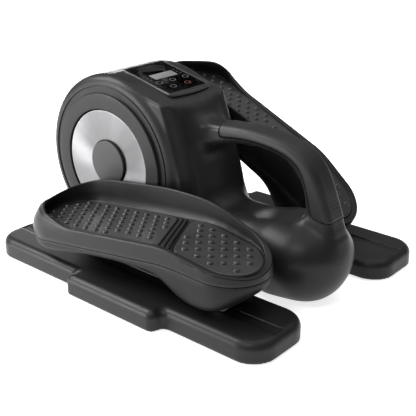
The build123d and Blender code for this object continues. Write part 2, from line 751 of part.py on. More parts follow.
for name, side in SIDES.items():
    pin_x, pin_z = pin_point(side)
    crank_disc = disc(side, SHAFT_X, SHAFT_Z, 56, 60, DISC_RADIUS)
    save(crank_disc, f"crank_disc_{name}")

    with BuildPart() as disc_trim:
        with BuildSketch(Plane(origin=(SHAFT_X, 0, SHAFT_Z))):
            with BuildLine():
                Polyline(
                    (HUB_RADIUS + HUB_GAP, side * 60),
                    (TRIM_RADIUS, side * 60),
                    (TRIM_RADIUS, side * 64.5),
                    (HUB_RADIUS + HUB_GAP, side * 62.5),
                    close=True,
                )
            make_face()
        revolve(axis=SHAFT_AXIS)
        with BuildSketch(side_plane(side, 0)):
            with Locations(on_side(side, pin_x, pin_z)):
                Circle(PIN_FLANGE)
        extrude(amount=FACE_Y, mode=Mode.SUBTRACT)
    save(disc_trim.part, f"disc_trim_{name}")

    with BuildPart() as hub_cap:
        with BuildSketch(side_plane(side, 60)):
            with Locations(on_side(side, SHAFT_X, SHAFT_Z)):
                Circle(HUB_RADIUS)
        extrude(amount=FACE_Y - 60)
        fillet(hub_cap.edges().filter_by(GeomType.CIRCLE), 1.2)
    save(hub_cap.part, f"hub_cap_{name}")

    with BuildPart() as crank_pin:
        with BuildSketch(side_plane(side, 60)):
            with Locations(on_side(side, pin_x, pin_z)):
                Circle(PIN_FLANGE)
        extrude(amount=6)
        with BuildSketch(side_plane(side, 66)):
            with Locations(on_side(side, pin_x, pin_z)):
                Circle(PIN_RADIUS)
        extrude(amount=PIN_END_Y - 66)
    save(crank_pin.part, f"crank_pin_{name}")

# ---------------------------------------------------------------- pedals
def pedal_outline(side, inset):
    """Plan of a pedal: a wide toe and a narrower heel, straight along the body."""
    with BuildSketch() as outline:
        with Locations((TOE_RADIUS, side * TOE_Y)):
            Circle(TOE_RADIUS - inset)
        with Locations((PEDAL_LENGTH - HEEL_RADIUS, side * HEEL_Y)):
            Circle(HEEL_RADIUS - inset)
        make_hull()
    return outline.sketch


def deck_line(h, drop):
    """One edge of a side view: level to the crest, a soft bend, then down to the heel."""
    fall = math.radians(drop)
    soft = CREST_SOFT * math.tan(fall / 2)
    reach = PEDAL_LENGTH + 20 - CREST_S
    Line((DECK_START_S, h), (CREST_S - soft, h))
    bend_end = (CREST_S + soft * math.cos(fall), h - soft * math.sin(fall))
    TangentArc((CREST_S - soft, h), bend_end, tangent=(1, 0))
    Line(bend_end, (CREST_S + reach, h - reach * math.tan(fall)))
    return CREST_S + reach, h - reach * math.tan(fall)


def profile_solid(side, sketch):
    """A side view drawn flat, made solid right across the pedal's side of the machine."""
    with BuildPart() as solid:
        with BuildSketch(profile_plane(side).offset(-2 * TOE_Y)):
            add(sketch)
        extrude(amount=4 * TOE_Y)
    return solid.part


def deck_band(side, low, high):
    """Everything between two heights over the low rim, following the deck over its crest."""
    with BuildSketch() as view:
        with BuildLine():
            low_end = deck_line(low, HEEL_DROP)
            high_end = deck_line(high, HEEL_DROP)
            Line((DECK_START_S, low), (DECK_START_S, high))
            Line(low_end, high_end)
        make_face()
    return profile_solid(side, view.sketch)


def plan_solid(side, inset, low=-90.0, high=50.0):
    """The pedal's plan made solid between two heights over the low rim."""
    with BuildPart() as solid:
        with BuildSketch(deck_plane(side).offset(low)):
            add(pedal_outline(side, inset))
        extrude(amount=high - low)
    return solid.part


def tray_side():
    """Side view of the upper shell: parting seam below, high inner rim above."""
    with BuildSketch() as view:
        with BuildLine():
            seam_end = deck_line(SEAM_H, SEAM_DROP)
            Line((DECK_START_S, SEAM_H), (DECK_START_S, 10))
            Spline((DECK_START_S, 10), (45, 27), (110, 28.5), (185, 28), (240, 19), (290, -4), (336, -27))
            Line((336, -27), (seam_end[0], -33))
            Line((seam_end[0], -33), seam_end)
        make_face()
    return view.sketch


def rim_cut_side():
    """Side view of what is cut from the outer side: an S-curve down from the toe cup."""
    top = 60
    with BuildSketch() as view:
        with BuildLine():
            fall = math.radians(HEEL_DROP)
            soft = CREST_SOFT * math.tan(fall / 2)
            bend_end = (CREST_S + soft * math.cos(fall), -soft * math.sin(fall))
            far = (CREST_S + 130, -130 * math.tan(fall))
            Spline((60, 32), (84, 14), (108, 0), tangents=((0.6, -0.3), (1, 0)))
            Line((108, 0), (CREST_S - soft, 0))
            TangentArc((CREST_S - soft, 0), bend_end, tangent=(1, 0))
            Line(bend_end, far)
            Line(far, (far[0], top))
            Line((far[0], top), (60, top))
            Line((60, top), (60, 32))
        make_face()
    return view.sketch


def shell_side(lift):
    """Side view of the lower shell, or of its hollow when lifted off the bottom."""
    with BuildSketch() as view:
        with BuildLine():
            seam_end = deck_line(SEAM_H, SEAM_DROP)
            Line((DECK_START_S, SEAM_H), (DECK_START_S, -26 + lift))
            Spline(
                (DECK_START_S, -26 + lift), (20, -34 + lift), (60, -36 + lift), (120, -31 + lift),
                (190, -33 + lift), (235, -44 + lift),
            )
            Spline(
                (235, -44 + lift), (255, -62 + lift), (282, -68 + lift), (312, -60 + lift),
                (336, -49 + lift), (seam_end[0], -44 + lift),
            )
            Line((seam_end[0], -44 + lift), seam_end)
        make_face()
    return view.sketch


def pad_outline(side, grow, toe):
    """Plan of one grip pad; the two pads meet along slanting lines over the crest."""
    slant = math.tan(math.radians(RIDGE_ANGLE))
    with BuildSketch() as outline:
        add(pedal_outline(side, PEDAL_WALL + PAD_MARGIN - grow))
        middle = PAD_SPLIT_S - grow if not toe else PAD_TOE_END_S + grow
        reach = 90
        ends = [
            (middle + slant * reach, side * (TOE_Y + reach)),
            (middle - slant * reach, side * (TOE_Y - reach)),
        ]
        beyond = -400 if toe else 400
        with BuildLine():
            Polyline(
                ends[0], ends[1], (ends[1][0] + beyond, ends[1][1]), (ends[0][0] + beyond, ends[0][1]),
                close=True,
            )
        make_face(mode=Mode.INTERSECT)
    return outline.sketch


def pad_solid(side, grow, low, high, toe):
    """A pad, or the recess for it, following the deck."""
    with BuildPart() as pad:
        with BuildSketch(deck_plane(side).offset(-90)):
            add(pad_outline(side, grow, toe))
        extrude(amount=140)
        add(deck_band(side, low, high), mode=Mode.INTERSECT)
    return pad.part


def deck_disc(side, s, h, inner_y, outer_y, radius, bore=0.0):
    """A round piece about a crosswise axis, placed on a pedal."""
    with BuildPart() as piece:
        with BuildSketch(profile_plane(side).offset(-side * inner_y)):
            with Locations((s, h)):
                Circle(radius)
                if bore:
                    Circle(bore, mode=Mode.SUBTRACT)
        extrude(amount=-side * (outer_y - inner_y))
    return piece.part


def on_deck(side, x, z):
    """The point x, z of the machine in a pedal's s and h."""
    local = deck_plane(side).to_local_coords(Vector(x, 0, z))
    return local.X, local.Z


for name, side in SIDES.items():
    pin_s, pin_h = on_deck(side, *pin_point(side))
    axle_s, axle_h = on_deck(side, *axle_point(side))

    with BuildPart() as pedal_tray:
        add(plan_solid(side, 0))
        add(profile_solid(side, tray_side()), mode=Mode.INTERSECT)
        with BuildPart(mode=Mode.PRIVATE) as rim_cut:
            with BuildSketch(profile_plane(side).offset(-side * (TOE_Y - 2))):
                add(rim_cut_side())
            extrude(amount=-side * 80)
        add(rim_cut.part, mode=Mode.SUBTRACT)
        with BuildPart(mode=Mode.PRIVATE) as well:
            add(plan_solid(side, PEDAL_WALL))
            add(deck_band(side, FLOOR_H, 80), mode=Mode.INTERSECT)
        add(well.part, mode=Mode.SUBTRACT)
        with BuildPart(mode=Mode.PRIVATE) as under:
            add(plan_solid(side, PEDAL_WALL))
            add(deck_band(side, -100, FLOOR_H - FLOOR_THICK), mode=Mode.INTERSECT)
        add(under.part, mode=Mode.SUBTRACT)
        boss_end = PEDAL_INNER_Y + BUSH_DEPTH + BOSS_WALL
        add(deck_disc(side, pin_s, pin_h, PEDAL_INNER_Y + 1, boss_end, BUSH_RADIUS + BOSS_WALL))
        add(pad_solid(side, PAD_GAP, FLOOR_H - PAD_SINK, 60, True), mode=Mode.SUBTRACT)
        add(pad_solid(side, PAD_GAP, FLOOR_H - PAD_SINK, 60, False), mode=Mode.SUBTRACT)
        add(
            deck_disc(side, pin_s, pin_h, PEDAL_INNER_Y - 2, PEDAL_INNER_Y + BUSH_DEPTH, BUSH_RADIUS),
            mode=Mode.SUBTRACT,
        )
    save(pedal_tray.part, f"pedal_tray_{name}")

    for pad_name, toe in (("toe", True), ("heel", False)):
        pad = pad_solid(side, 0, FLOOR_H - PAD_SINK, FLOOR_H - PAD_SINK + PAD_THICK, toe)
        save(pad, f"{pad_name}_pad_{name}")

    bush = deck_disc(
        side, pin_s, pin_h, PEDAL_INNER_Y, PEDAL_INNER_Y + BUSH_DEPTH, BUSH_RADIUS, PIN_RADIUS + RUNNING_GAP
    )
    save(bush, f"pedal_bush_{name}")

    with BuildPart() as pedal_shell:
        add(plan_solid(side, SHELL_INSET))
        add(profile_solid(side, shell_side(0)), mode=Mode.INTERSECT)
        with BuildPart(mode=Mode.PRIVATE) as hollow:
            add(plan_solid(side, SHELL_INSET + WALL))
            add(profile_solid(side, shell_side(WALL)), mode=Mode.INTERSECT)
        add(hollow.part, mode=Mode.SUBTRACT)
        with BuildPart(mode=Mode.PRIVATE) as bosses:
            for inner_y in (TRACK_Y - AXLE_HALF, TRACK_Y + AXLE_HALF - AXLE_BOSS):
                with BuildSketch(profile_plane(side).offset(-side * inner_y)):
                    with Locations((axle_s, axle_h + 6)):
                        Rectangle(16, 22)
                extrude(amount=-side * AXLE_BOSS)
            add(profile_solid(side, shell_side(1)), mode=Mode.INTERSECT)
        add(bosses.part)
        with BuildSketch(deck_plane(side).offset(-90)):
            with Locations((axle_s, side * TRACK_Y)):
                RectangleRounded(2 * ROLLER_RADIUS + 8, ROLLER_WIDTH + 6, 4)
        extrude(amount=50, mode=Mode.SUBTRACT)
        add(
            deck_disc(side, axle_s, axle_h, TRACK_Y - 30, TRACK_Y + 30, AXLE_RADIUS + RUNNING_GAP),
            mode=Mode.SUBTRACT,
        )
    save(pedal_shell.part, f"pedal_shell_{name}")

    axle = deck_disc(side, axle_s, axle_h, TRACK_Y - AXLE_HALF, TRACK_Y + AXLE_HALF, AXLE_RADIUS)
    save(axle, f"heel_axle_{name}")
    half = ROLLER_WIDTH / 2
    tyre = deck_disc(side, axle_s, axle_h, TRACK_Y - half, TRACK_Y + half, ROLLER_RADIUS, ROLLER_HUB)
    save(tyre, f"roller_tyre_{name}")
    hub = deck_disc(
        side, axle_s, axle_h, TRACK_Y - half - 1, TRACK_Y + half + 1, ROLLER_HUB, AXLE_RADIUS + RUNNING_GAP
    )
    save(hub, f"roller_hub_{name}")
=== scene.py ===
"""Visual model of an under-desk pedal exerciser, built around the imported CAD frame."""
import json
import math

import bmesh
import bpy
import numpy as np
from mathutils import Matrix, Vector


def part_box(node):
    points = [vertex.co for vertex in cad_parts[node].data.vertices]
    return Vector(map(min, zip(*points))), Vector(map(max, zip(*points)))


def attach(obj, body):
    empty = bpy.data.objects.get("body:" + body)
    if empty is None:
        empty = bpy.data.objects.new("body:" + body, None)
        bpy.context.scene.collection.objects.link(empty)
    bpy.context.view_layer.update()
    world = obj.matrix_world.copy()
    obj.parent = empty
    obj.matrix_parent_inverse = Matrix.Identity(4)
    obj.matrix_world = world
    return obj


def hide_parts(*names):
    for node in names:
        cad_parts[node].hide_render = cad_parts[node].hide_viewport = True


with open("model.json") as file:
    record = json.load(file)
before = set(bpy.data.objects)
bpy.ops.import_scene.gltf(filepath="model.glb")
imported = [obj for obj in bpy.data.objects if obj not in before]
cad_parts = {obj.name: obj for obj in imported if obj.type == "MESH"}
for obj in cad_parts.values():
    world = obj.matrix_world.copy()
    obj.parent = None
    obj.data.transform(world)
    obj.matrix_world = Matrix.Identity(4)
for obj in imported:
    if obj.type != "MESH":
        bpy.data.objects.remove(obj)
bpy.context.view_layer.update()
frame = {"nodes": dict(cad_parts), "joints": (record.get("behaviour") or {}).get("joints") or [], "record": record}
NODES = frame["nodes"]
JOINTS = {joint["name"]: joint for joint in frame["joints"]}
SLOTS = {part["node"]: part["material_slot"] for part in frame["record"]["subparts"]}
MM = 0.001
SIDES = {"left": -1, "right": 1}

# The crank's axis, in millimetres, read from the frame.
SHAFT = np.array(JOINTS["crank_spin"]["pos_m"]) / MM


def span(node, axis):
    """Lowest and highest millimetre of a CAD node along one axis."""
    low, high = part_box(node)
    return low[axis] / MM, high[axis] / MM


# ------------------------------------------------------------------ mesh helpers
def add_object(name, data):
    """A new object in the scene."""
    obj = bpy.data.objects.new(name, data)
    bpy.context.scene.collection.objects.link(obj)
    return obj


def make_object(name, points, faces, smooth=True):
    """A mesh object from points in millimetres."""
    mesh = bpy.data.meshes.new(name)
    points = np.asarray(points, float) * MM
    mesh.from_pydata(points.tolist(), [], [list(face) for face in faces])
    mesh.update()
    mesh.polygons.foreach_set("use_smooth", [smooth] * len(mesh.polygons))
    return add_object(name, mesh)


def grid_faces(rows, columns):
    """Quads over rings of points stored row by row, each ring closed."""
    faces = []
    for i in range(rows - 1):
        for j in range(columns):
            k = (j + 1) % columns
            faces.append((i * columns + j, i * columns + k, (i + 1) * columns + k, (i + 1) * columns + j))
    return faces


def weld(obj, distance=0.02):
    """Join points that fall together, as where rings close on a line, and point faces outwards."""
    mesh = bmesh.new()
    mesh.from_mesh(obj.data)
    bmesh.ops.remove_doubles(mesh, verts=mesh.verts, dist=distance * MM)
    bmesh.ops.recalc_face_normals(mesh, faces=mesh.faces)
    mesh.to_mesh(obj.data)
    mesh.free()
    return obj


def ease(value, start, end):
    """0 before start, 1 after end, smooth between."""
    t = np.clip((value - start) / (end - start), 0, 1)
    return t * t * (3 - 2 * t)


def curve(*points):
    """A smooth function through these points, straight on beyond its ends."""
    xs, ys = (np.array(column, float) for column in zip(*points))
    slopes = np.gradient(ys, xs)

    def value(x):
        x = np.asarray(x, float)
        i = np.clip(np.searchsorted(xs, x) - 1, 0, len(xs) - 2)
        width = xs[i + 1] - xs[i]
        t = np.clip((x - xs[i]) / width, 0, 1)
        beyond = (x - xs[i]) - t * width
        inner = (
            (2 * t**3 - 3 * t**2 + 1) * ys[i]
            + (t**3 - 2 * t**2 + t) * width * slopes[i]
            + (3 * t**2 - 2 * t**3) * ys[i + 1]
            + (t**3 - t**2) * width * slopes[i + 1]
        )
        return inner + beyond * np.where(beyond > 0, slopes[-1], slopes[0])

    return value


def lathe(name, profile, side, steps=180, centre=None):
    """Turn a closed profile of (radius, distance from the middle) about a crosswise axis."""
    centre = SHAFT if centre is None else centre
    turn = np.linspace(0, 2 * math.pi, steps, endpoint=False)
    points = [
        (centre[0] + radius * math.cos(a), side * y, centre[2] + radius * math.sin(a))
        for radius, y in profile + profile[:1]
        for a in turn
    ]
    return weld(make_object(name, points, grid_faces(len(profile) + 1, steps)))


def rounded(corners, radius, steps=5):
    """A closed profile with its corners rounded."""
    out = []
    count = len(corners)
    for i, corner in enumerate(corners):
        corner = np.array(corner, float)
        before = np.array(corners[i - 1], float) - corner
        after = np.array(corners[(i + 1) % count], float) - corner
        reach = min(radius, 0.45 * np.linalg.norm(before), 0.45 * np.linalg.norm(after))
        start = corner + before / np.linalg.norm(before) * reach
        end = corner + after / np.linalg.norm(after) * reach
        for t in np.linspace(0, 1, steps):
            out.append(tuple((1 - t) ** 2 * start + 2 * t * (1 - t) * corner + t**2 * end))
    return out


# ------------------------------------------------------------------ smooth solids from distance fields
def soft_min(a, b, k):
    h = np.clip(0.5 + 0.5 * (b - a) / k, 0, 1)
    return b * (1 - h) + a * h - k * h * (1 - h)


def soft_max(a, b, k):
    return -soft_min(-a, -b, k)


def round_box(p, centre, half, radius):
    q = np.abs(p - np.array(centre)) - np.array(half) + radius
    return np.linalg.norm(np.maximum(q, 0), axis=-1) + np.minimum(q.max(-1), 0) - radius


def corner_round(a, b, radius):
    """Where two slabs' distances meet, a rounded edge of this radius."""
    q = np.stack([a, b], -1) + radius
    return np.linalg.norm(np.maximum(q, 0), axis=-1) + np.minimum(q.max(-1), 0) - radius


def gradient(field, points, step=0.05):
    out = np.empty_like(points)
    for axis in range(3):
        shift = np.zeros(3)
        shift[axis] = step
        out[:, axis] = (field(points + shift) - field(points - shift)) / (2 * step)
    return out


def onto_surface(field, points, reach, rounds):
    """Pull points onto the zero surface of a field."""
    for _ in range(rounds):
        slope = gradient(field, points)
        size = np.maximum((slope**2).sum(1), 0.05)
        points = points - np.clip(field(points) / size, -reach, reach)[:, None] * slope
    return points


def relax(points, faces):
    """Move each point halfway to the middle of the faces round it."""
    middle = points[faces].mean(1)
    count = np.bincount(faces.ravel(), minlength=len(points))
    out = np.empty_like(points)
    for axis in range(3):
        total = np.bincount(faces.ravel(), np.repeat(middle[:, axis], 4), len(points))
        out[:, axis] = total / count
    return (points + out) / 2


def mesh_field(field, axes, relaxed=2):
    """Points and quads of the zero surface of a distance field, by surface nets on a box grid."""
    shape = tuple(len(axis) for axis in axes)
    values = np.empty(shape)
    y, z = np.meshgrid(axes[1], axes[2], indexing="ij")
    for i, x in enumerate(axes[0]):
        values[i] = field(np.stack([np.full_like(y, x), y, z], -1).reshape(-1, 3)).reshape(y.shape)
    inside = values < 0
    cell = tuple(n - 1 for n in shape)
    total = np.zeros(cell + (3,))
    count = np.zeros(cell)

    def at_corner(array, corner):
        return array[tuple(slice(c, c + n) for c, n in zip(corner, cell))]

    for corner in [(i, j, k) for i in (0, 1) for j in (0, 1) for k in (0, 1)]:
        for axis in range(3):
            if corner[axis]:
                continue
            other = tuple(c + (axis == n) for n, c in enumerate(corner))
            here, there = at_corner(values, corner), at_corner(values, other)
            cross = at_corner(inside, corner) != at_corner(inside, other)
            t = np.where(cross, here / np.where(cross, here - there, 1), 0)
            for n in range(3):
                total[..., n] += np.where(cross, corner[n] + (t if n == axis else 0), 0)
            count += cross
    active = count > 0
    number = np.full(cell, -1)
    number[active] = np.arange(active.sum())
    where = np.argwhere(active)
    offset = total[active] / count[active][:, None]
    points = np.stack(
        [axes[n][where[:, n]] + offset[:, n] * np.diff(axes[n])[where[:, n]] for n in range(3)], 1
    )
    quads = []
    for axis in range(3):
        u, v = [n for n in range(3) if n != axis]
        first = tuple(slice(1, -1) if n != axis else slice(0, -1) for n in range(3))
        second = tuple(slice(1, -1) if n != axis else slice(1, None) for n in range(3))
        cross = inside[first] != inside[second]
        base = np.argwhere(cross)
        base[:, [u, v]] += 1
        ring = []
        for du, dv in ((1, 1), (0, 1), (0, 0), (1, 0)):
            index = base.copy()
            index[:, u] -= du
            index[:, v] -= dv
            ring.append(number[tuple(index.T)])
        quad = np.stack(ring, 1)
        outward = inside[first][cross] != (axis == 1)
        quad[~outward] = quad[~outward][:, ::-1]
        quads.append(quad)
    quads = np.concatenate(quads)
    reach = float(min(np.diff(axis).min() for axis in axes)) * 2
    points = onto_surface(field, points, reach, 3)
    for _ in range(relaxed):
        points = onto_surface(field, relax(points, quads), reach, 2)
    return points, quads


def steps(low, high, step):
    return np.arange(low, high + step, step)


# ------------------------------------------------------------------ materials
def noise(nodes, links, coords, scale, detail=2.0, rough=0.5):
    node = nodes.new("ShaderNodeTexNoise")
    node.inputs["Scale"].default_value = scale
    node.inputs["Detail"].default_value = detail
    node.inputs["Roughness"].default_value = rough
    links.new(coords, node.inputs["Vector"])
    return node.outputs["Fac"]


def ramp(nodes, links, value, low, high):
    """Map 0..1 to low..high, numbers or colours."""
    node = nodes.new("ShaderNodeMapRange")
    node.inputs["To Min"].default_value = low
    node.inputs["To Max"].default_value = high
    links.new(value, node.inputs["Value"])
    return node.outputs["Result"]


def blend_colour(nodes, links, factor, a, b):
    node = nodes.new("ShaderNodeMix")
    node.data_type = "RGBA"
    node.inputs["A"].default_value = (*a, 1)
    node.inputs["B"].default_value = (*b, 1)
    links.new(factor, node.inputs["Factor"])
    return node.outputs["Result"]


def times(nodes, links, a, b):
    node = nodes.new("ShaderNodeMath")
    node.operation = "MULTIPLY"
    links.new(a, node.inputs[0])
    links.new(b, node.inputs[1])
    return node.outputs[0]


def vector_math(nodes, links, operation, value, other=None):
    node = nodes.new("ShaderNodeVectorMath")
    node.operation = operation
    links.new(value, node.inputs[0])
    if other is not None:
        node.inputs[1].default_value = other
    return node.outputs["Value" if operation == "LENGTH" else "Vector"]


def bump(nodes, links, height, strength, distance, normal=None):
    node = nodes.new("ShaderNodeBump")
    node.inputs["Strength"].default_value = strength
    node.inputs["Distance"].default_value = distance
    links.new(height, node.inputs["Height"])
    if normal is not None:
        links.new(normal, node.inputs["Normal"])
    return node.outputs["Normal"]


WEAR_FROM, WEAR_TO = 0.515, 0.60
CLOUD_SCALE = 38
RUB_SCALE = 160
BUMP_STRENGTH = 0.6
FINISHES = {}


def new_material(name):
    """A material with its nodes, links, shader and object coordinates."""
    made = bpy.data.materials.new(name)
    made.use_nodes = True
    nodes = made.node_tree.nodes
    coords = nodes.new("ShaderNodeTexCoord").outputs["Object"]
    return made, nodes, made.node_tree.links, nodes["Principled BSDF"], coords


def add_finish(
    name, colour, rough, grain=900.0, grain_depth=0.00003, metal=0.0, vary=0.18, rough_vary=0.08,
    wear=None, specular=0.5,
):
    """Moulded or painted finish: fine grain bump, cloudy tone and gloss, and paler rubbed edges."""
    made, nodes, links, shader, coords = new_material(name)
    cloud = noise(nodes, links, coords, CLOUD_SCALE, 4)
    fine = noise(nodes, links, coords, grain, 3, 0.6)
    darker = tuple(c * (1 - vary) for c in colour)
    paler = tuple(min(1, c * (1 + vary)) for c in colour)
    tone = blend_colour(nodes, links, cloud, darker, paler)
    if wear is not None:
        edge = nodes.new("ShaderNodeMapRange")
        edge.inputs["From Min"].default_value = WEAR_FROM
        edge.inputs["From Max"].default_value = WEAR_TO
        links.new(nodes.new("ShaderNodeNewGeometry").outputs["Pointiness"], edge.inputs["Value"])
        patches = ramp(nodes, links, noise(nodes, links, coords, RUB_SCALE, 3), 0.1, 0.9)
        mix = nodes.new("ShaderNodeMix")
        mix.data_type = "RGBA"
        mix.inputs["B"].default_value = (*wear, 1)
        links.new(times(nodes, links, edge.outputs["Result"], patches), mix.inputs["Factor"])
        links.new(tone, mix.inputs["A"])
        tone = mix.outputs["Result"]
    links.new(tone, shader.inputs["Base Color"])
    links.new(ramp(nodes, links, cloud, rough - rough_vary, rough + rough_vary), shader.inputs["Roughness"])
    links.new(bump(nodes, links, fine, BUMP_STRENGTH, grain_depth), shader.inputs["Normal"])
    shader.inputs["Metallic"].default_value = metal
    shader.inputs["Specular IOR Level"].default_value = specular
    FINISHES[name] = made


RING_SCALE = 3500
# Size of the painted light and dark fans round the shaft.
PAINTED_FAN_SCALE = 2.6
SPUN_DARK = (0.10, 0.10, 0.103)
SPUN_PALE = (0.40, 0.40, 0.405)
SPUN_ROUGHNESS = (0.26, 0.38)


def spun_metal():
    """Turned disc: fine rings about the shaft, light and dark wedges painted round it in place of its highlight
    fans, and a highlight stretched across them.
    """
    made, nodes, links, shader, coords = new_material("spun_trim")
    from_shaft = vector_math(nodes, links, "SUBTRACT", coords, tuple(SHAFT * MM))
    flat = vector_math(nodes, links, "MULTIPLY", from_shaft, (1, 0, 1))
    rings = nodes.new("ShaderNodeTexNoise")
    rings.noise_dimensions = "1D"
    rings.inputs["Scale"].default_value = RING_SCALE
    rings.inputs["Detail"].default_value = 4
    links.new(vector_math(nodes, links, "LENGTH", flat), rings.inputs["W"])
    direction = vector_math(nodes, links, "NORMALIZE", flat)
    # Painted highlight: wedges round the shaft made lighter and darker, standing in for the fans a turned disc
    # shows under light.
    painted_fans = ramp(nodes, links, noise(nodes, links, direction, PAINTED_FAN_SCALE, 1), 0.1, 0.9)
    mixed = times(nodes, links, rings.outputs["Fac"], painted_fans)
    tone = blend_colour(nodes, links, mixed, SPUN_DARK, SPUN_PALE)
    links.new(tone, shader.inputs["Base Color"])
    links.new(ramp(nodes, links, rings.outputs["Fac"], *SPUN_ROUGHNESS), shader.inputs["Roughness"])
    links.new(bump(nodes, links, rings.outputs["Fac"], 0.5, 0.00002), shader.inputs["Normal"])
    tangent = nodes.new("ShaderNodeTangent")
    tangent.direction_type = "RADIAL"
    tangent.axis = "Y"
    links.new(tangent.outputs["Tangent"], shader.inputs["Tangent"])
    shader.inputs["Metallic"].default_value = 1.0
    shader.inputs["Anisotropic"].default_value = 0.85
    return made


WEAR = (0.045, 0.045, 0.047)
add_finish("body_plastic", (0.0105, 0.0106, 0.0110), 0.40, wear=WEAR, specular=0.2)
add_finish("under_plastic", (0.006, 0.006, 0.0063), 0.5, wear=WEAR, specular=0.3)
add_finish("grip_rubber", (0.0085, 0.0085, 0.0088), 0.5, 1500, 0.00005, specular=0.3)
add_finish("pedal_plastic", (0.0095, 0.0096, 0.0100), 0.40, wear=WEAR, specular=0.2)
add_finish("pedal_shell_plastic", (0.004, 0.004, 0.0042), 0.5, wear=WEAR, specular=0.22)
add_finish("pad_rubber", (0.021, 0.021, 0.0215), 0.36, 1300, 0.00004, specular=0.42)
add_finish("bezel_plastic", (0.007, 0.007, 0.0075), 0.34, wear=WEAR, specular=0.36)
add_finish(
    "display_glass", (0.0017, 0.0014, 0.0014), 0.24, 900, 0.0000004, vary=0.05, rough_vary=0.01,
    specular=0.25
)
add_finish("circuit_board", (0.03, 0.14, 0.07), 0.35, 500)
FINISHES["brushed_trim"] = spun_metal()
add_finish("hub_plastic", (0.028, 0.028, 0.029), 0.44, wear=WEAR, specular=0.3)
add_finish("painted_steel", (0.035, 0.035, 0.037), 0.5, 600, 0.00006, wear=WEAR)
add_finish("motor_case", (0.26, 0.26, 0.27), 0.38, 500, metal=0.8)
add_finish("plain_steel", (0.52, 0.52, 0.54), 0.26, 1800, 0.00002, metal=1.0)
add_finish("screw_steel", (0.28, 0.28, 0.29), 0.34, 1200, metal=1.0)
add_finish("pulley_plastic", (0.55, 0.55, 0.52), 0.45, 700)
add_finish("bush_bronze", (0.45, 0.30, 0.12), 0.32, 900, metal=1.0)
add_finish("belt_rubber", (0.02, 0.02, 0.02), 0.7, 1400, 0.00008)
add_finish("foot_rubber", (0.035, 0.035, 0.035), 0.8, 900, 0.0001)
add_finish("tyre_rubber", (0.05, 0.05, 0.05), 0.7, 1100, 0.00008)
add_finish("switch_plastic", (0.012, 0.012, 0.012), 0.2, 500, 0.00001)
# Near-black and nearly unreflecting: painted shade, for thin sheets that stand in for the shadowed grooves round
# the grip and the pads.
add_finish("groove_shade_black", (0.0015, 0.0015, 0.0015), 0.9, 1500, 0.00003, specular=0.03)
add_finish("lcd", (0.17, 0.17, 0.175), 0.3, 700, 0.000004, vary=0.05)
add_finish("icon_ink", (0.17, 0.175, 0.18), 0.4, 900, 0.00001)
add_finish("icon_red", (0.22, 0.06, 0.06), 0.4, 900, 0.00001)


def finish(obj, slot, body="base", replaces=(), paint=None):
    """Give a piece its material, picked by its slot unless another paint is named, attach it to its body and hide
    the CAD parts it replaces.
    """
    obj.data.materials.clear()
    obj.data.materials.append(FINISHES[paint or slot])
    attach(obj, body)
    if replaces:
        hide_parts(*replaces)
    return obj


for node_name, node in NODES.items():
    node.data.materials.clear()
    node.data.materials.append(FINISHES[SLOTS[node_name]])
    node.data.polygons.foreach_set("material_index", [0] * len(node.data.polygons))

# ------------------------------------------------------------------ housing with its carrying handle
DRUM_RADIUS = 110.7
DRUM_HALF = 61.6
DRUM_EDGE = 12.0
WELL_RADIUS = 71.5
WELL_FLOOR = 50.0
NECK_HALF = 57.0
NECK_FRONT_HALF = 45.0
NECK_TOP = 230.8
NECK_BACK = -108.0
BELLY_HALF = span("housing_right", 1)[1] - 23.0
BELLY_TOP = 86.0
FLOOR_GAP = span("housing_right", 2)[0]
BULB = np.array([152.0, 0.0, 56.0])
BULB_RADIUS = span("housing_right", 0)[1] - BULB[0] - 0.4
BULB_ABOVE = 43.0
BULB_BELOW = 61.0
TAIL_X = span("power_inlet", 0)[0] + 1.5
FLANGE = 2.0
PANEL = np.array([-62.0, 0.0, 220.6])
PANEL_TILT = math.radians(12.7)
PANEL_ALONG = np.array([math.cos(PANEL_TILT), 0, -math.sin(PANEL_TILT)])
PANEL_UP = np.array([math.sin(PANEL_TILT), 0, math.cos(PANEL_TILT)])
PANEL_HALF = np.array([42.0, 36.0])

# Neck seen from the side: the front edge of its flat side leans back more the higher it is.
NECK_EDGE = (34.6, -0.1304, -0.000641)
NECK_BEVEL = 10.0
NECK_CROWN = 5.0
NECK_BROW = 208.5
BROW_FROM_PANEL = 48
BROW_FALL = 0.55
BROW_NORM = 0.876
PANEL_SINK = 3.0
SHOULDER_FALL = 0.32
SHOULDER_GAP = 1.5
EDGE_SOFT = 1.6
TOP_SOFT = 3.5
BACK_SOFT = 6.0
CREASE_BEAD = 1.3
CREASE_WIDTH = 2.2
# Handle seen from the side: x, z and half thickness along its middle line.
HANDLE_POINTS = np.array([
    (-12, 170, 8), (12, 171, 11.5), (28, 172.3, 13), (46, 175.5, 11), (70, 178.4, 9.6),
    (96, 178.3, 8.9), (121, 175, 9.2), (142, 167.5, 9.8), (157, 154, 11), (166.5, 136, 12.2),
    (172, 118, 14), (175, 101, 17.5), (174, 84, 23),
], float)
HANDLE_HALF = 17.0
HANDLE_EDGE = 8.0
HANDLE_NEAR = 34.0
HANDLE_FAR_VALUE = 80.0


def smooth_line(points, pieces):
    """More points on a smooth line through these."""
    index = np.arange(len(points))
    fine = np.linspace(0, len(points) - 1, (len(points) - 1) * pieces + 1)
    return np.stack([curve(*zip(index, column))(fine) for column in points.T], 1)


HANDLE = smooth_line(HANDLE_POINTS, 4)


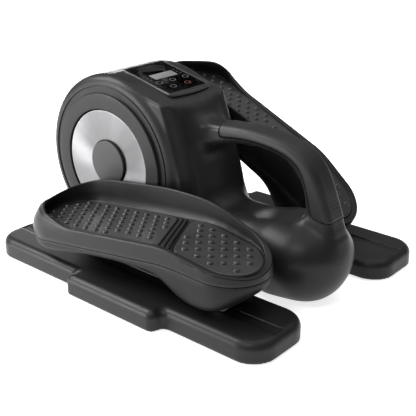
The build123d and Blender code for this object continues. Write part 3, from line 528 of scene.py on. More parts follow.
def along_handle(p):
    """Distance to the handle's middle line in side view, its half thickness there, and the side."""
    best = np.full(len(p), 1e9)
    thick = np.zeros(len(p))
    outward = np.zeros(len(p))
    flat = p[:, [0, 2]]
    for a, b in zip(HANDLE, HANDLE[1:]):
        line = b[:2] - a[:2]
        t = np.clip(((flat - a[:2]) @ line) / (line @ line), 0, 1)
        away = flat - (a[:2] + t[:, None] * line)
        distance = np.linalg.norm(away, axis=1)
        radius = a[2] + t * (b[2] - a[2])
        nearer = distance - radius < best - thick
        best = np.where(nearer, distance, best)
        thick = np.where(nearer, radius, thick)
        normal = np.array([-line[1], line[0]]) / np.linalg.norm(line)
        outward = np.where(nearer, away @ normal, outward)
    return best, thick, outward


def handle_field(p):
    """Distance to the handle's bar near it; far away it is only large."""
    out = np.full(len(p), HANDLE_FAR_VALUE)
    near = (p[:, 0] > -30) & (p[:, 2] > 50) & (np.abs(p[:, 1]) < HANDLE_HALF + HANDLE_NEAR)
    if near.any():
        distance, thick, _ = along_handle(p[near])
        out[near] = corner_round(distance - thick, np.abs(p[near, 1]) - HANDLE_HALF, HANDLE_EDGE)
    return out


def drum_field(p):
    radius = np.hypot(p[:, 0] - SHAFT[0], p[:, 2] - SHAFT[2])
    return corner_round(radius - DRUM_RADIUS, np.abs(p[:, 1]) - DRUM_HALF, DRUM_EDGE)


def neck_field(p):
    """Neck: flat sides, a bevel down each front edge and a slightly crowned front."""
    x, y, z = p[:, 0], np.abs(p[:, 1]), p[:, 2]
    edge = NECK_EDGE[0] + NECK_EDGE[1] * z + NECK_EDGE[2] * z**2
    crease = edge + NECK_BEVEL
    slope = (NECK_HALF - NECK_FRONT_HALF) / NECK_BEVEL
    bevel = ((x - edge) * slope + (y - NECK_HALF)) / math.sqrt(1 + slope**2)
    front = (x - crease - NECK_CROWN * (1 - (y / NECK_FRONT_HALF) ** 2)) * 0.93
    brow = ((x - PANEL[0] - BROW_FROM_PANEL) * BROW_FALL + (z - NECK_BROW)) * BROW_NORM
    front = soft_max(front, brow, 5.0)
    above = (p - PANEL) @ PANEL_UP - PANEL_SINK
    past_panel = y - PANEL_HALF[1] - SHOULDER_GAP
    shoulder = (above + SHOULDER_FALL * past_panel) / math.hypot(1, SHOULDER_FALL)
    top = soft_max(soft_max(above, shoulder, 2.0), z - NECK_TOP, 4.0)
    out = soft_max(y - NECK_HALF, bevel, EDGE_SOFT)
    out = soft_max(out, front, EDGE_SOFT)
    out = out - CREASE_BEAD * np.exp(-(bevel**2 + front**2) / (2 * CREASE_WIDTH**2))
    out = soft_max(out, top, TOP_SOFT)
    out = soft_max(out, NECK_BACK - x, BACK_SOFT)
    return np.maximum(out, FLOOR_GAP - z)


def bulb_field(p):
    """Egg: round in plan, fuller above its widest level than below it."""
    away = p - BULB
    tall = np.where(away[:, 2] > 0, BULB_ABOVE, BULB_BELOW)
    size = np.stack([np.full(len(p), BULB_RADIUS), np.full(len(p), BULB_RADIUS), tall], 1)
    q = away / size
    k = np.linalg.norm(q, axis=1)
    return k * (k - 1) / np.maximum(np.linalg.norm(q / size, axis=1), 1e-6)


# How widely each part of the housing flows into the rest.
BULB_BLEND = 26.0
NECK_BLEND, NECK_BLEND_LOW = 6.0, 20.0
HANDLE_BLEND, HANDLE_BLEND_ROOT = 15.0, 11.0
DRUM_BLEND = 4.0
TAIL_BLEND = 9.0
# The belly and tail boxes, the lip round the drum's face and the seam in the middle.
BELLY_EDGE = 22.0
BELLY_BACK = 12
TAIL_MID_Z, TAIL_HALF_Z = 30, 28
TAIL_HALF = 35
TAIL_EDGE = 7.0
FACE_LIP = 13
SEAM_DEPTH = 0.22


def housing_field(p):
    """Distance to the whole housing: belly, bulb, neck, handle, drum and tail, less its openings."""
    belly_mid = (SHAFT[0] + BULB[0]) / 2
    belly_size = (BULB[0] - belly_mid - BELLY_BACK, BELLY_HALF, BELLY_TOP / 2)
    belly = round_box(p, (belly_mid, 0, BELLY_TOP / 2), belly_size, BELLY_EDGE)
    tail_size = ((SHAFT[0] - TAIL_X) / 2, TAIL_HALF, TAIL_HALF_Z)
    tail = round_box(p, ((TAIL_X + SHAFT[0]) / 2, 0, TAIL_MID_Z), tail_size, TAIL_EDGE)
    body = soft_min(belly, bulb_field(p), BULB_BLEND)
    low_down = ease(p[:, 2], 150, 90)
    body = soft_min(body, neck_field(p), NECK_BLEND + NECK_BLEND_LOW * low_down)
    at_root = ease(p[:, 0], 62, 30)
    body = soft_min(body, handle_field(p), HANDLE_BLEND + HANDLE_BLEND_ROOT * at_root)
    body = soft_min(body, drum_field(p), DRUM_BLEND)
    body = soft_min(body, tail, TAIL_BLEND)
    body = soft_max(body, FLOOR_GAP - p[:, 2], 3.0)
    radius = np.hypot(p[:, 0] - SHAFT[0], p[:, 2] - SHAFT[2])
    well = np.maximum(radius - WELL_RADIUS, WELL_FLOOR - np.abs(p[:, 1]))
    face = np.maximum(radius - DRUM_RADIUS + FACE_LIP, DRUM_HALF - np.abs(p[:, 1]))
    cut = np.minimum(well, face)
    for node in ("power_inlet", "switch_frame"):
        low, high = (np.array(corner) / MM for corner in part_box(node))
        half = (high - low) / 2 + (0.5, -FLANGE, -FLANGE)
        cut = np.minimum(cut, round_box(p, (low + high) / 2, half, 0.5))
    groove = np.maximum(SEAM_DEPTH - np.abs(p[:, 1]) * 0.4, 0)
    return np.maximum(body, -cut) + groove


def fine_middle(half, step):
    """Grid lines across the machine, close together at the seam in the middle."""
    outer = steps(2.4, half, step)
    middle = np.array([0.3, 0.7, 1.3])
    positive = np.concatenate([middle, outer])
    return np.concatenate([-positive[::-1], [0.0], positive])


def split_halves(points, quads):
    """The housing as a left and a right moulding that meet in the seam."""
    whole = make_object("housing", points, quads.tolist())
    for name, side in SIDES.items():
        half = bmesh.new()
        half.from_mesh(whole.data)
        geometry = half.verts[:] + half.edges[:] + half.faces[:]
        cut = bmesh.ops.bisect_plane(
            half, geom=geometry, plane_co=(0, 0, 0), plane_no=(0, -side, 0), clear_outer=True
        )
        edges = [e for e in cut["geom_cut"] if isinstance(e, bmesh.types.BMEdge)]
        caps = bmesh.ops.triangle_fill(half, edges=edges, use_beauty=True)
        cap_faces = [face for face in caps["geom"] if isinstance(face, bmesh.types.BMFace)]
        middles = np.array([face.calc_center_median() for face in cap_faces]) / MM
        open_air = housing_field(middles) > 0.5
        bmesh.ops.delete(half, geom=[f for f, out in zip(cap_faces, open_air) if out], context="FACES_ONLY")
        for face in cap_faces:
            if face.is_valid:
                face.smooth = False
        bmesh.ops.recalc_face_normals(half, faces=half.faces)
        mesh = bpy.data.meshes.new(f"housing_shell_{name}")
        half.to_mesh(mesh)
        half.free()
        covered = [f"housing_{name}"] + (["handle_core"] if side < 0 else [])
        finish(add_object(mesh.name, mesh), "body_plastic", replaces=covered)
    bpy.data.objects.remove(whole)


housing_axes = (
    np.concatenate([steps(-219, -60, 2.0), steps(-58, 60, 1.5), steps(63, 211, 2.0)]),
    fine_middle(66, 1.8),
    steps(1.5, 233, 2.0),
)
split_halves(*mesh_field(housing_field, housing_axes))


GRIP_START_X = 37
GRIP_LOW_Z = 104
GRIP_DEPTH = 2.4
GRIP_CORNER = 7.0


def grip_field(p, proud=0.9, grow=0.0):
    """Soft inlay over the top of the handle: a skin a little proud, with rounded ends."""
    _, _, outward = along_handle(p)
    skin = handle_field(p)
    low_edge = -2.0 - 3.5 * ease(p[:, 0] - p[:, 2], -20, 40)
    area = soft_max(low_edge - outward, GRIP_START_X - p[:, 0], GRIP_CORNER)
    area = soft_max(area, np.where(p[:, 0] > 120, GRIP_LOW_Z - p[:, 2], -50), GRIP_CORNER)
    return corner_round(np.maximum(skin - proud, -skin - GRIP_DEPTH), area - grow, 0.7)


grip_axes = (steps(32, 203, 1.3), steps(-19.5, 19.5, 1.3), steps(98, 192, 1.3))
grip = make_object("soft_grip", *mesh_field(grip_field, grip_axes, relaxed=1))
finish(grip, "grip_rubber", replaces=["handle_grip"])
# Painted shade: a thin near-black sheet a little wider than the grip, showing past its edge as the shadowed groove
# round it.
edge = make_object("grip_groove_shade", *mesh_field(lambda p: grip_field(p, 0.2, 1.7), grip_axes, relaxed=1))
finish(edge, "grip_rubber", paint="groove_shade_black")

# ------------------------------------------------------------------ drum sides
RING_FACE = span("side_ring_right", 1)[1]
RING_INNER = 69.2
RING_OUTER = 88.5
LIP_RADIUS = 97.6
TRIM_RADIUS = 67.9
HUB_RADIUS = 28.6
HUB_FACE = 65.0
DISC_BACK = 60
DISC_RIM_FACE = 64.6
DISC_HUB_FACE = 62.0

for name, side in SIDES.items():
    ring_profile = rounded(
        [
            (RING_INNER, 51), (RING_INNER, RING_FACE), (RING_OUTER, RING_FACE), (RING_OUTER + 0.6, 61.2),
            (LIP_RADIUS - 1.4, 61.2), (LIP_RADIUS - 1.0, 62.9), (LIP_RADIUS, 62.9), (LIP_RADIUS, 59),
            (RING_INNER + 3, 59), (RING_INNER + 3, 51),
        ],
        1.5,
    )
    finish(lathe(f"drum_ring_{name}", ring_profile, side), "body_plastic", replaces=[f"side_ring_{name}"])
    trim_inner = HUB_RADIUS + 0.9
    trim_profile = rounded(
        [
            (TRIM_RADIUS, DISC_BACK), (TRIM_RADIUS, DISC_RIM_FACE),
            (trim_inner, DISC_HUB_FACE), (trim_inner, DISC_BACK),
        ],
        1.1,
    )
    trim = lathe(f"spun_disc_{name}", trim_profile, side)
    finish(trim, "brushed_trim", "crank", [f"disc_trim_{name}"])
    cap_corners = [(0.01, DISC_BACK), (HUB_RADIUS, DISC_BACK), (HUB_RADIUS, HUB_FACE), (0.01, HUB_FACE)]
    cap_profile = rounded(cap_corners, 1.2)[5:-5] + [(0.0, HUB_FACE), (0.0, DISC_BACK)]
    cap = lathe(f"centre_cap_{name}", cap_profile, side, 120)
    finish(cap, "hub_plastic", "crank", [f"hub_cap_{name}"])

# ------------------------------------------------------------------ display


def panel_ring(half, inset, radius, count=14):
    """Rounded rectangle about the panel's middle: along the slope, then across."""
    r = max(radius - inset, 1.0)
    reach = np.array(half) - inset - r
    points = []
    for corner, (sa, sb) in enumerate(((1, 1), (-1, 1), (-1, -1), (1, -1))):
        turn = np.linspace(0, math.pi / 2, count) + corner * math.pi / 2
        arc = np.stack([sa * reach[0] + r * np.cos(turn), sb * reach[1] + r * np.sin(turn)], 1)
        points.append(arc)
    outline = np.concatenate(points)
    return fill_out(outline, 8)


def fill_out(outline, pieces):
    """Add points on the long straight runs between corners."""
    out = []
    for a, b in zip(outline, np.roll(outline, -1, axis=0)):
        out.append(a)
        if np.linalg.norm(b - a) > 8:
            out.extend(a + (b - a) * t for t in np.linspace(0, 1, pieces + 2)[1:-1])
    return np.array(out)


def place_on_panel(flat, height):
    return PANEL + flat[:, :1] * PANEL_ALONG + flat[:, 1:] * np.array([0, 1, 0]) + height * PANEL_UP


RIM = 2.6
BEZEL_PROFILE = [
    (RIM, -2), (1.5, -2), (1.5, 0.9), (0.5, 1.0), (0.1, 1.4), (0, 2.2), (0, 3.9), (0.2, 4.5), (0.6, 4.9),
    (1.1, 5.0), (1.9, 5.0), (2.3, 4.9), (2.5, 4.6), (RIM, 4.2), (RIM, -2),
]
FRONT_BOW = 3.0
FRONT_LIP = 2.6
rings = []
for inset, height in BEZEL_PROFILE:
    ring = panel_ring(PANEL_HALF, inset, 5.5)
    front = ease(ring[:, 0], 0, 38)
    share = inset / RIM
    bow = FRONT_BOW * (1 - (ring[:, 1] / PANEL_HALF[1]) ** 2) * (1 - share)
    ring[:, 0] += front * (bow - FRONT_LIP * share)
    rings.append(place_on_panel(ring, height))
bezel = weld(make_object("panel_bezel", np.concatenate(rings), grid_faces(len(rings), len(rings[0]))))
finish(bezel, "bezel_plastic", replaces=["display_bezel"])

LENS_HALF = np.array([38.0, 33.2])
LENS_SHIFT = np.array([-1.35, 0.0])
LENS_TOP = 4.5
rings = []
for inset, height in [(32.0, 1), (0, 1), (0, LENS_TOP - 0.5), (0.2, LENS_TOP - 0.15), (0.6, LENS_TOP)]:
    rings.append(place_on_panel(panel_ring(LENS_HALF, inset, 2.8) + LENS_SHIFT, height))
for inset in (0.9, 6, 14, 22, 30, 31.0):
    rings.append(place_on_panel(panel_ring(LENS_HALF, inset, 2.8) + LENS_SHIFT, LENS_TOP))
lens_faces = grid_faces(len(rings), len(rings[0]))
ring_size = len(rings[0])
lens_faces.append(tuple(range(ring_size))[::-1])
lens_faces.append(tuple(range((len(rings) - 1) * ring_size, len(rings) * ring_size)))
lens = weld(make_object("panel_glass", np.concatenate(rings), lens_faces))
finish(lens, "display_glass", replaces=["display_lens"])


def panel_spot(across, down):
    """A place on the glass from shares of its width and its length, back to front."""
    return LENS_SHIFT + np.array([(2 * down - 1) * LENS_HALF[0], (2 * across - 1) * LENS_HALF[1]])


def panel_plate(name, centre, half, radius, thick, paint):
    """A thin raised plate on the glass."""
    rings = []
    for inset, height in ((0, -0.3), (0, thick - 0.03), (0.08, thick)):
        rings.append(place_on_panel(panel_ring(half, inset, radius, 8) + centre, LENS_TOP + height))
    count = len(rings[0])
    faces = grid_faces(3, count) + [tuple(range(count))[::-1], tuple(range(2 * count, 3 * count))]
    return finish(weld(make_object(name, np.concatenate(rings), faces)), "display_glass", paint=paint)


def panel_oval(name, centre, half, width, paint):
    """A flat oval ring on the glass: a touch key's mark."""
    turn = np.linspace(0, 2 * math.pi, 48, endpoint=False)
    rings = []
    for share, height in ((0, -0.2), (0, 0.05), (1, 0.05), (1, -0.2), (0, -0.2)):
        size = np.array(half) - width * share
        flat = np.stack([size[0] * np.cos(turn), size[1] * np.sin(turn)], 1) + centre
        rings.append(place_on_panel(flat, LENS_TOP + height))
    obj = make_object(name, np.concatenate(rings), grid_faces(len(rings), len(turn)))
    return finish(weld(obj), "display_glass", paint=paint)


panel_plate("display_window", panel_spot(0.51, 0.43), (6.6, 19.8), 1.6, 0.06, "lcd")
for index, across in enumerate((0.10, 0.89)):
    for row in range(3):
        spot = panel_spot(across, 0.34 + 0.08 * row)
        panel_plate(f"tick_mark_{index}{row}", spot, (0.6, 1.9), 0.5, 0.05, "icon_ink")
KEYS = ((0.17, 0.63), (0.52, 0.63), (0.87, 0.63), (0.31, 0.82), (0.70, 0.82))
for index, key in enumerate(KEYS):
    paint = "icon_red" if index == 4 else "icon_ink"
    panel_oval(f"touch_key_{index}", panel_spot(*key), (3.6, 4.6), 0.55, paint)

# ------------------------------------------------------------------ side plates
PLATE_INNER, PLATE_OUTER = span("side_plate_right", 1)
PLATE_LOW, PLATE_TOP = span("side_plate_right", 2)
PLATE_END = span("side_plate_right", 0)[1]
PLATE_WIDTH = 95.0
PLATE_CORNER = 31.0
PLATE_EDGE = 10.0
PLATE_WALL = 3.0
PLATE_ROOF = 17.0
WALL_LEAN = 0.25
LEAN_FROM_Z = 5
BUMP_MID_X = 12.5
BUMP_HALF = 71.5
BUMP_CORNER = 10.0
BUMP_ROOT = PLATE_INNER + 40.0
TRACK_Y = 124.0
TRACK_HALF = np.array([207.0, 8.0])
TRACK_DEPTH = 1.4
TRACK_CORNER = 1.5


def flat_box(p, centre, half, radius):
    """Distance in plan to a rounded rectangle."""
    q = np.abs(p[:, :2] - np.array(centre)) - np.array(half) + radius
    return np.linalg.norm(np.maximum(q, 0), axis=1) + np.minimum(q.max(1), 0) - radius


def plate_field(p):
    """Side plate: a long rounded slab with a step out at its middle and a shallow roller track."""
    z = p[:, 2]
    half_width = PLATE_WIDTH / 2
    main = flat_box(p, (0, PLATE_INNER + half_width), (PLATE_END - 0.3, half_width - 0.2), PLATE_CORNER)
    bump_half_y = (PLATE_OUTER - 0.2 - BUMP_ROOT) / 2
    bump = flat_box(p, (BUMP_MID_X, BUMP_ROOT + bump_half_y), (BUMP_HALF, bump_half_y), BUMP_CORNER)
    outline = soft_min(main, bump, 9.0)
    slab = np.maximum(corner_round(outline, z - PLATE_TOP, PLATE_EDGE), PLATE_LOW - z)
    wall = PLATE_WALL + WALL_LEAN * np.maximum(z - LEAN_FROM_Z, 0)
    hollow = np.maximum(outline + wall, z - PLATE_ROOF)
    groove = flat_box(p, (0, TRACK_Y), TRACK_HALF, TRACK_CORNER)
    track = np.maximum(groove, PLATE_TOP - TRACK_DEPTH - z)
    return np.maximum(slab, -np.minimum(hollow, track))


def with_lines(axis, places):
    """Grid lines with a close pair about each of these places."""
    pairs = np.concatenate([np.array(places) - 0.4, np.array(places) + 0.4])
    apart = np.abs(axis[:, None] - pairs).min(1) > 0.8
    return np.sort(np.concatenate([axis[apart], pairs]))


# Steps in the plate that need close grid lines: the ends and sides of the track, and each level.
TRACK_ENDS = (-TRACK_HALF[0], TRACK_HALF[0])
TRACK_SIDES = (TRACK_Y - TRACK_HALF[1], TRACK_Y + TRACK_HALF[1])
PLATE_LEVELS = (PLATE_LOW, PLATE_ROOF, PLATE_TOP - TRACK_DEPTH, PLATE_TOP)
plate_axes = (
    with_lines(steps(-PLATE_END - 2, PLATE_END + 2, 2.0), TRACK_ENDS),
    with_lines(steps(PLATE_INNER - 2, PLATE_OUTER + 2, 1.7), TRACK_SIDES),
    with_lines(steps(PLATE_LOW + 2, PLATE_TOP + 1, 1.6), PLATE_LEVELS),
)
plate_points, plate_quads = mesh_field(plate_field, plate_axes, relaxed=1)
for name, side in SIDES.items():
    faces = plate_quads if side > 0 else plate_quads[:, ::-1]
    plate = make_object(f"ground_plate_{name}", plate_points * (1, side, 1), faces.tolist())
    finish(plate, "body_plastic", replaces=[f"side_plate_{name}"])

# ------------------------------------------------------------------ pedals
# A pedal's own frame: s from the toe tip to the heel, h above the low rim, y outwards.
TOE = np.array([55.0, 124.0])
HEEL = np.array([289.0, 118.0])
TOE_RADIUS = 53.0
HEEL_RADIUS = 47.0
PIN_IN_DECK = np.array([54.6, -10.7])
DECK_TO_LINK = math.radians(12.98)
CREST = 240.0
CREST_SOFT = 16.5
ARC_STEPS = 40
LINE_STEPS = 64
LINK = math.atan2(HEEL[1] - TOE[1], HEEL[0] - TOE[0])
LEAN = math.acos((TOE_RADIUS - HEEL_RADIUS) / np.linalg.norm(HEEL - TOE))


def bend(s, drop):
    """Fall of a line that runs level to the crest and then down by this many degrees."""
    slope = math.tan(math.radians(drop))
    into = np.clip(s - CREST + CREST_SOFT, 0, 2 * CREST_SOFT)
    beyond = np.maximum(s - CREST - CREST_SOFT, 0)
    return -slope * (into**2 / (4 * CREST_SOFT) + beyond)


DECK_FALL = 15.7
SEAM_FALL = 9.8
SEAM_DROP = -20


def deck(s):
    return bend(s, DECK_FALL)


def seam(s):
    return SEAM_DROP + bend(s, SEAM_FALL)


HIGH_RIM = curve((-12, 9), (10, 17), (45, 25), (110, 28.5), (185, 28), (240, 19), (290, -4), (336, -27))
UNDER = curve(
    (-12, -28), (20, -34), (60, -36), (120, -31), (190, -33), (228, -41), (252, -60), (282, -68),
    (312, -60), (336, -47),
)


def pedal_ring(inset):
    """Outline of the pedal in plan, this far inside its edge: toe arc, body side, heel arc, outer side."""
    centres, radii, normals = [], [], []
    for centre, radius, start, end in (
        (TOE, TOE_RADIUS, LINK + LEAN, LINK - LEAN + 2 * math.pi),
        (HEEL, HEEL_RADIUS, LINK - LEAN, LINK + LEAN),
    ):
        turn = np.linspace(start, end, ARC_STEPS)
        centres.append(np.repeat([centre], ARC_STEPS, axis=0))
        radii.append(np.full(ARC_STEPS, radius))
        normals.append(np.stack([np.cos(turn), np.sin(turn)], 1))
        t = np.linspace(0, 1, LINE_STEPS + 2)[1:-1]
        t = t if centre is TOE else 1 - t
        centres.append(TOE + (HEEL - TOE) * t[:, None])
        radii.append(TOE_RADIUS + (HEEL_RADIUS - TOE_RADIUS) * t)
        normals.append(np.repeat([[math.cos(end), math.sin(end)]], LINE_STEPS, axis=0))
    reach = np.maximum(np.concatenate(radii) - inset, 0.0)
    return np.concatenate(centres) + reach[:, None] * np.concatenate(normals)


def rim(ring):
    """Height of the rim: high along the body and round the toe, low along the outer side."""
    s, y = ring[:, 0], ring[:, 1]
    low = deck(s)
    high = np.maximum(HIGH_RIM(s), low)
    cup = OUTER_CUP * (1 - ease(s, 10, 104))
    outer = low + soft_min(high - low, cup, 9.0)
    outside = np.where(s < 150, ease(y, 104, 136), ease(y, 88, 140))
    return high + (outer - high) * outside


def pedal_place(side):
    """Functions of the pedal's frame: from s, h and outward y to the machine's frame."""
    name = "left" if side < 0 else "right"
    axle = np.array(JOINTS[f"{name}_tilt"]["pos_m"]) / MM
    low, high = (np.array(corner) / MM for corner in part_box(f"crank_pin_{name}"))
    pin = (low + high) / 2
    angle = math.atan2(axle[2] - pin[2], axle[0] - pin[0]) + DECK_TO_LINK
    along = np.array([math.cos(angle), math.sin(angle)])
    up = np.array([-math.sin(angle), math.cos(angle)])
    tip = np.array([pin[0], pin[2]]) - PIN_IN_DECK[0] * along - PIN_IN_DECK[1] * up

    def place(s, y, h):
        flat = tip + np.outer(s, along) + np.outer(h, up)
        return np.stack([flat[:, 0], side * np.asarray(y), flat[:, 1]], 1)

    return place


def loft(name, rings, place):
    """A closed solid through rings of (s, y, h)."""
    points = np.concatenate([place(ring[:, 0], ring[:, 1], ring[:, 2]) for ring in rings])
    return weld(make_object(name, points, grid_faces(len(rings), len(rings[0]))))


def with_height(ring, height):
    return np.column_stack([ring, height])


OUTER_CUP = 23.0
TOE_LEAN = 0.46
FLOOR_DROP = 3.5
FLOOR_UNDER = 8.0
FLOOR_INSETS = (16, 26, 38, 60)
LIP_RADIUS_OUT = 1.8
LIP_RADIUS_IN = 1.2
LEDGE_LOW, LEDGE_GAIN = 7.6, 3.8


def tray_rings():
    """Upper shell: seam, outer wall, rounded rim, inner wall, floor, then its underside."""
    edge = pedal_ring(0)
    top = rim(edge)
    bottom = seam(edge[:, 0])
    low = ease(top - deck(edge[:, 0]), 1.0, 12.0)
    ledge = LEDGE_LOW - LEDGE_GAIN * low
    rings = [with_height(pedal_ring(60), seam(pedal_ring(60)[:, 0]) + 9)]
    for inset in (38, 20, 8):
        rings.append(with_height(pedal_ring(inset), deck(pedal_ring(inset)[:, 0]) - FLOOR_UNDER))
    for inset, lift in ((3.2, 8), (3.2, 0.4), (1.4, 0), (0.5, 0.15), (0.0, 0.8)):
        rings.append(with_height(pedal_ring(inset), bottom + lift))
    inward = pedal_ring(1.0) - edge
    toward_toe = np.clip(0.82 * inward[:, 0] - 0.57 * inward[:, 1], 0, 1) * ease(edge[:, 0], 120, 60)
    lean = TOE_LEAN * toward_toe**1.6 * np.maximum(top - bottom, 0)
    for share in (0.25, 0.45, 0.6, 0.7, 0.8, 0.9):
        outline = pedal_ring_at(lean * ease(share, 0.3, 1.25) * 1.06)
        rings.append(with_height(outline, bottom + (top - bottom) * share))
    for turn in np.linspace(0, math.pi / 2, 6):
        outline = pedal_ring_at(lean + LIP_RADIUS_OUT * (1 - math.cos(turn)))
        rings.append(with_height(outline, top - LIP_RADIUS_OUT + LIP_RADIUS_OUT * math.sin(turn)))
    for turn in np.linspace(math.pi / 2, math.pi, 6):
        outline = pedal_ring_at(lean + ledge - LIP_RADIUS_IN - LIP_RADIUS_IN * math.cos(turn))
        rings.append(with_height(outline, top - LIP_RADIUS_IN + LIP_RADIUS_IN * math.sin(turn)))
    floor = deck(edge[:, 0]) - FLOOR_DROP
    wall = pedal_ring_at(lean * 0.6 + ledge + 0.2)
    rings.append(with_height(wall, floor + 0.5 * (top - LIP_RADIUS_IN - floor) * (1 - 0.2 * low)))
    ledge = ledge + 0.2 * lean
    for out, lift in ((0.35, 1.0), (0.9, 0.35), (1.6, 0.0)):
        outline = pedal_ring_at(ledge + out)
        rings.append(with_height(outline, deck(outline[:, 0]) - FLOOR_DROP + lift))
    for inset in FLOOR_INSETS:
        outline = pedal_ring(inset)
        rings.append(with_height(outline, deck(outline[:, 0]) - FLOOR_DROP))
    return rings


def pedal_ring_at(inset):
    """Pedal outline with its own inset at each point."""
    edge, inner = pedal_ring(0.0), pedal_ring(1.0)
    return edge + (inner - edge) * np.asarray(inset)[:, None]


def shell_rings():
    """Lower shell: drafted sides that round into the bottom, and a hollow top under the seam."""
    rings = []
    for inset, drop in ((60, 4.0), (20, 4.0), (6, 4.0), (4.0, 1.0), (1.1, 0.9)):
        outline = pedal_ring(inset)
        rings.append(with_height(outline, seam(outline[:, 0]) - drop))
    for turn in np.linspace(0.0, math.pi / 2, 12):
        outline = pedal_ring(0.7 + 15 * (1 - math.cos(turn)) ** 1.2)
        top = seam(outline[:, 0]) - 1.5
        under = UNDER(outline[:, 0])
        rings.append(with_height(outline, top + (under - top) * math.sin(turn) ** 0.8))
    for inset in (22, 30, 38, 60):
        outline = pedal_ring(inset)
        rings.append(with_height(outline, UNDER(outline[:, 0])))
    return rings


PAD_INSET = 9.0
TOE_PAD_INSET = 5.0
PAD_CORNER = 8.0
SLANT = math.tan(math.radians(28.0))
PAD_ENDS = {"toe": 210.0, "heel": 230.0}
STUD_RADIUS = 3.2
STUD_HEIGHT = 2.7
STUD_PITCH = (17.0, 22.0)
STUD_DOME = 2.3
STUD_CLEAR = 6.0
PAD_TOP = 1.2
PAD_SHADE_REACH = 1.5
RIDGE_HALF = 5.0
RIDGE_GROOVE = 0.9


def hull_distance(s, y):
    """Signed distance to the pedal's outline in plan."""
    axis = HEEL - TOE
    length = np.linalg.norm(axis)
    axis = axis / length
    across = np.array([-axis[1], axis[0]])
    away = np.stack([s, y], -1) - TOE
    along = away @ axis
    off = np.abs(away @ across)
    sine = (TOE_RADIUS - HEEL_RADIUS) / length
    cosine = math.sqrt(1 - sine**2)
    key = -sine * off + cosine * along
    straight = off * cosine + along * sine - TOE_RADIUS
    at_toe = np.hypot(off, along) - TOE_RADIUS
    at_heel = np.hypot(off, along - length) - HEEL_RADIUS
    return np.where(key < 0, at_toe, np.where(key > cosine * length, at_heel, straight))


def slanted(s, y, at):
    """Signed distance past a slanting line across the pedal at this place."""
    return (s - at - SLANT * (y - TOE[1])) / math.sqrt(1 + SLANT**2)


def pad_area(s, y, which):
    past = slanted(s, y, PAD_ENDS[which])
    past = past if which == "toe" else -past
    edge = hull_distance(s, y) + PAD_INSET + TOE_PAD_INSET * ease(s, 70, 5)
    return soft_max(edge, past, PAD_CORNER)


def pad_field(which):
    """A pad with round studs in staggered rows, over a flat deck at height 0."""

    def field(p):
        s, y, h = p[:, 0], p[:, 1], p[:, 2]
        area = pad_area(s, y, which)
        out = corner_round(area, np.abs(h - PAD_TOP / 2 + 0.5) - PAD_TOP / 2 - 0.5, 0.8)
        for row in (0, 1):
            spot_s = np.round((s - row * STUD_PITCH[0] / 2) / STUD_PITCH[0]) * STUD_PITCH[0]
            spot_s = spot_s + row * STUD_PITCH[0] / 2
            shift = row * STUD_PITCH[1] / 2 + TOE[1]
            spot_y = np.round((y - shift) / STUD_PITCH[1]) * STUD_PITCH[1] + shift
            room = pad_area(spot_s, spot_y, which) + STUD_CLEAR
            away = np.hypot(s - spot_s, y - spot_y)
            dome = corner_round(away - STUD_RADIUS, h - PAD_TOP - STUD_HEIGHT, STUD_DOME)
            dome = np.where(room < 0, np.maximum(dome, PAD_TOP - 0.8 - h), 5.0)
            out = soft_min(out, dome, 0.5)
        return out

    return field


def pad_groove_shade_field(which):
    """Painted shade of the groove round a pad: a thin dark sheet that shows past its edge."""

    def field(p):
        area = pad_area(p[:, 0], p[:, 1], which) - PAD_SHADE_REACH
        return corner_round(area, np.abs(p[:, 2] + 0.35) - 0.62, 0.3)

    return field


def ridge_field(p):
    """Two low bars between the pads, side by side."""
    s, y, h = p[:, 0], p[:, 1], p[:, 2]
    edge = hull_distance(s, y) + PAD_INSET + 1
    middle = (PAD_ENDS["toe"] + PAD_ENDS["heel"]) / 2
    bar = np.abs(slanted(s, y, middle)) - RIDGE_HALF
    groove = RIDGE_GROOVE - np.abs(slanted(s, y, middle))
    plan = soft_max(np.maximum(bar, groove), edge, 3.0)
    return corner_round(plan, np.abs(h - 0.8) - 1.5, 0.7)


def on_deck(name, field, low, high, place, step=1.1):
    """Mesh a field over the flat deck, then lay it on the bent one."""
    axes = (steps(low[0], high[0], step), steps(low[1], high[1], step), steps(-1.2, 4.4, 0.5))
    points, quads = mesh_field(field, axes, relaxed=1)
    s, y, h = points.T
    return weld(make_object(name, place(s, y, h + deck(s) - FLOOR_DROP), quads.tolist()), 0.001)


WHEEL_ROOM = 3.0


def cut_wheel_slot(shell, node):
    """Open a box-shaped pocket in the lower shell round its roller."""
    low, high = (np.array(corner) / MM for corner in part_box(node))
    low = low - (WHEEL_ROOM, WHEEL_ROOM, 4 * WHEEL_ROOM)
    high = high + WHEEL_ROOM
    corners = [(x, y, z) for x in (low[0], high[0]) for y in (low[1], high[1]) for z in (low[2], high[2])]
    sides = [(0, 1, 3, 2), (4, 6, 7, 5), (0, 4, 5, 1), (2, 3, 7, 6), (0, 2, 6, 4), (1, 5, 7, 3)]
    cutter = make_object("slot_cutter", corners, sides, smooth=False)
    cut = shell.modifiers.new("slot", "BOOLEAN")
    cut.operation = "DIFFERENCE"
    cut.object = cutter
    made = bpy.data.meshes.new_from_object(shell.evaluated_get(bpy.context.evaluated_depsgraph_get()))
    shell.modifiers.clear()
    shell.data = made
    made.set_sharp_from_angle(angle=math.radians(40))
    bpy.data.objects.remove(cutter)


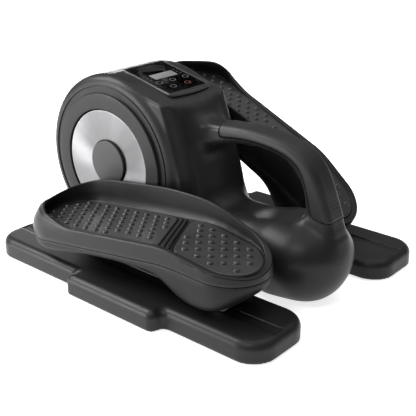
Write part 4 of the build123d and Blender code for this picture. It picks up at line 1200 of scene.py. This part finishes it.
for name, side in SIDES.items():
    body = f"{name}_pedal"
    place = pedal_place(side)
    tray = loft(f"foot_tray_{name}", tray_rings(), place)
    finish(tray, "pedal_plastic", body, [f"pedal_tray_{name}"])
    shell = loft(f"tray_shell_{name}", shell_rings(), place)
    cut_wheel_slot(shell, f"roller_tyre_{name}")
    finish(shell, "pedal_shell_plastic", body, [f"pedal_shell_{name}"])
    for which, low, high in (("toe", (6, 76), (240, 172)), ("heel", (196, 76), (332, 172))):
        tread = on_deck(f"{which}_tread_{name}", pad_field(which), low, high, place)
        finish(tread, "pad_rubber", body, [f"{which}_pad_{name}"])
        # Painted shade: the dark sheet round each pad stands in for the shadowed groove.
        groove = on_deck(f"{which}_tread_groove_shade_{name}", pad_groove_shade_field(which), low, high, place)
        finish(groove, "pad_rubber", body, paint="groove_shade_black")
    ridges = on_deck(f"tread_ridges_{name}", ridge_field, (180, 76), (262, 172), place, 0.9)
    finish(ridges, "pedal_plastic", body)

# ------------------------------------------------------------------ floor, light and camera
FLOOR_GLOW = 0.75
WORLD_STRENGTH = 0.26
FOCAL_LENGTH = 70.5
SENSOR_WIDTH = 36
CAMERA_PLACE = (0.6186, -0.7177, 0.4592)
CAMERA_AIM = (-0.60017, 0.70255, -0.38239)

bpy.ops.mesh.primitive_plane_add(size=12)
floor = bpy.context.object
floor.name = "studio_floor"
add_finish("studio_floor", (0.88, 0.88, 0.88), 0.7, 60, 0.00002, vary=0.01, specular=0.1)
floor_shader = FINISHES["studio_floor"].node_tree.nodes["Principled BSDF"]
floor_shader.inputs["Emission Color"].default_value = (1, 1, 1, 1)
floor_shader.inputs["Emission Strength"].default_value = FLOOR_GLOW
floor.data.materials.append(FINISHES["studio_floor"])

world = bpy.data.worlds.new("studio")
bpy.context.scene.world = world
world.use_nodes = True
background = world.node_tree.nodes["Background"]
background.inputs["Color"].default_value = (1, 1, 1, 1)
background.inputs["Strength"].default_value = WORLD_STRENGTH


def soft_light(name, place, target, size, power):
    light = bpy.data.lights.new(name, "AREA")
    light.shape = "RECTANGLE"
    light.size, light.size_y = size
    light.energy = power
    obj = add_object(name, light)
    obj.location = place
    obj.visible_camera = False
    obj.rotation_euler = (Vector(target) - Vector(place)).to_track_quat("-Z", "Y").to_euler()
    return obj


soft_light("key", (-0.9, -0.55, 1.05), (-0.1, 0, 0.12), (0.5, 0.8), 24)
soft_light("left", (-0.95, -1.25, 0.35), (-0.1, 0, 0.12), (0.6, 0.5), 19)
soft_light("front", (0.25, -0.95, 1.3), (-0.1, -0.06, 0.12), (0.35, 0.35), 6)
soft_light("top", (0.15, 0.35, 1.5), (0, 0, 0.1), (1.7, 1.7), 12)
soft_light("rim", (-1.5, 1.1, 0.2), (-0.08, 0, 0.18), (0.8, 0.3), 8)
bpy.context.scene.view_settings.view_transform = "Standard"

camera = add_object("camera", bpy.data.cameras.new("camera"))
camera.data.lens = FOCAL_LENGTH
camera.data.sensor_width = SENSOR_WIDTH
camera.location = CAMERA_PLACE
camera.rotation_euler = Vector(CAMERA_AIM).to_track_quat("-Z", "Y").to_euler()
bpy.context.scene.camera = camera
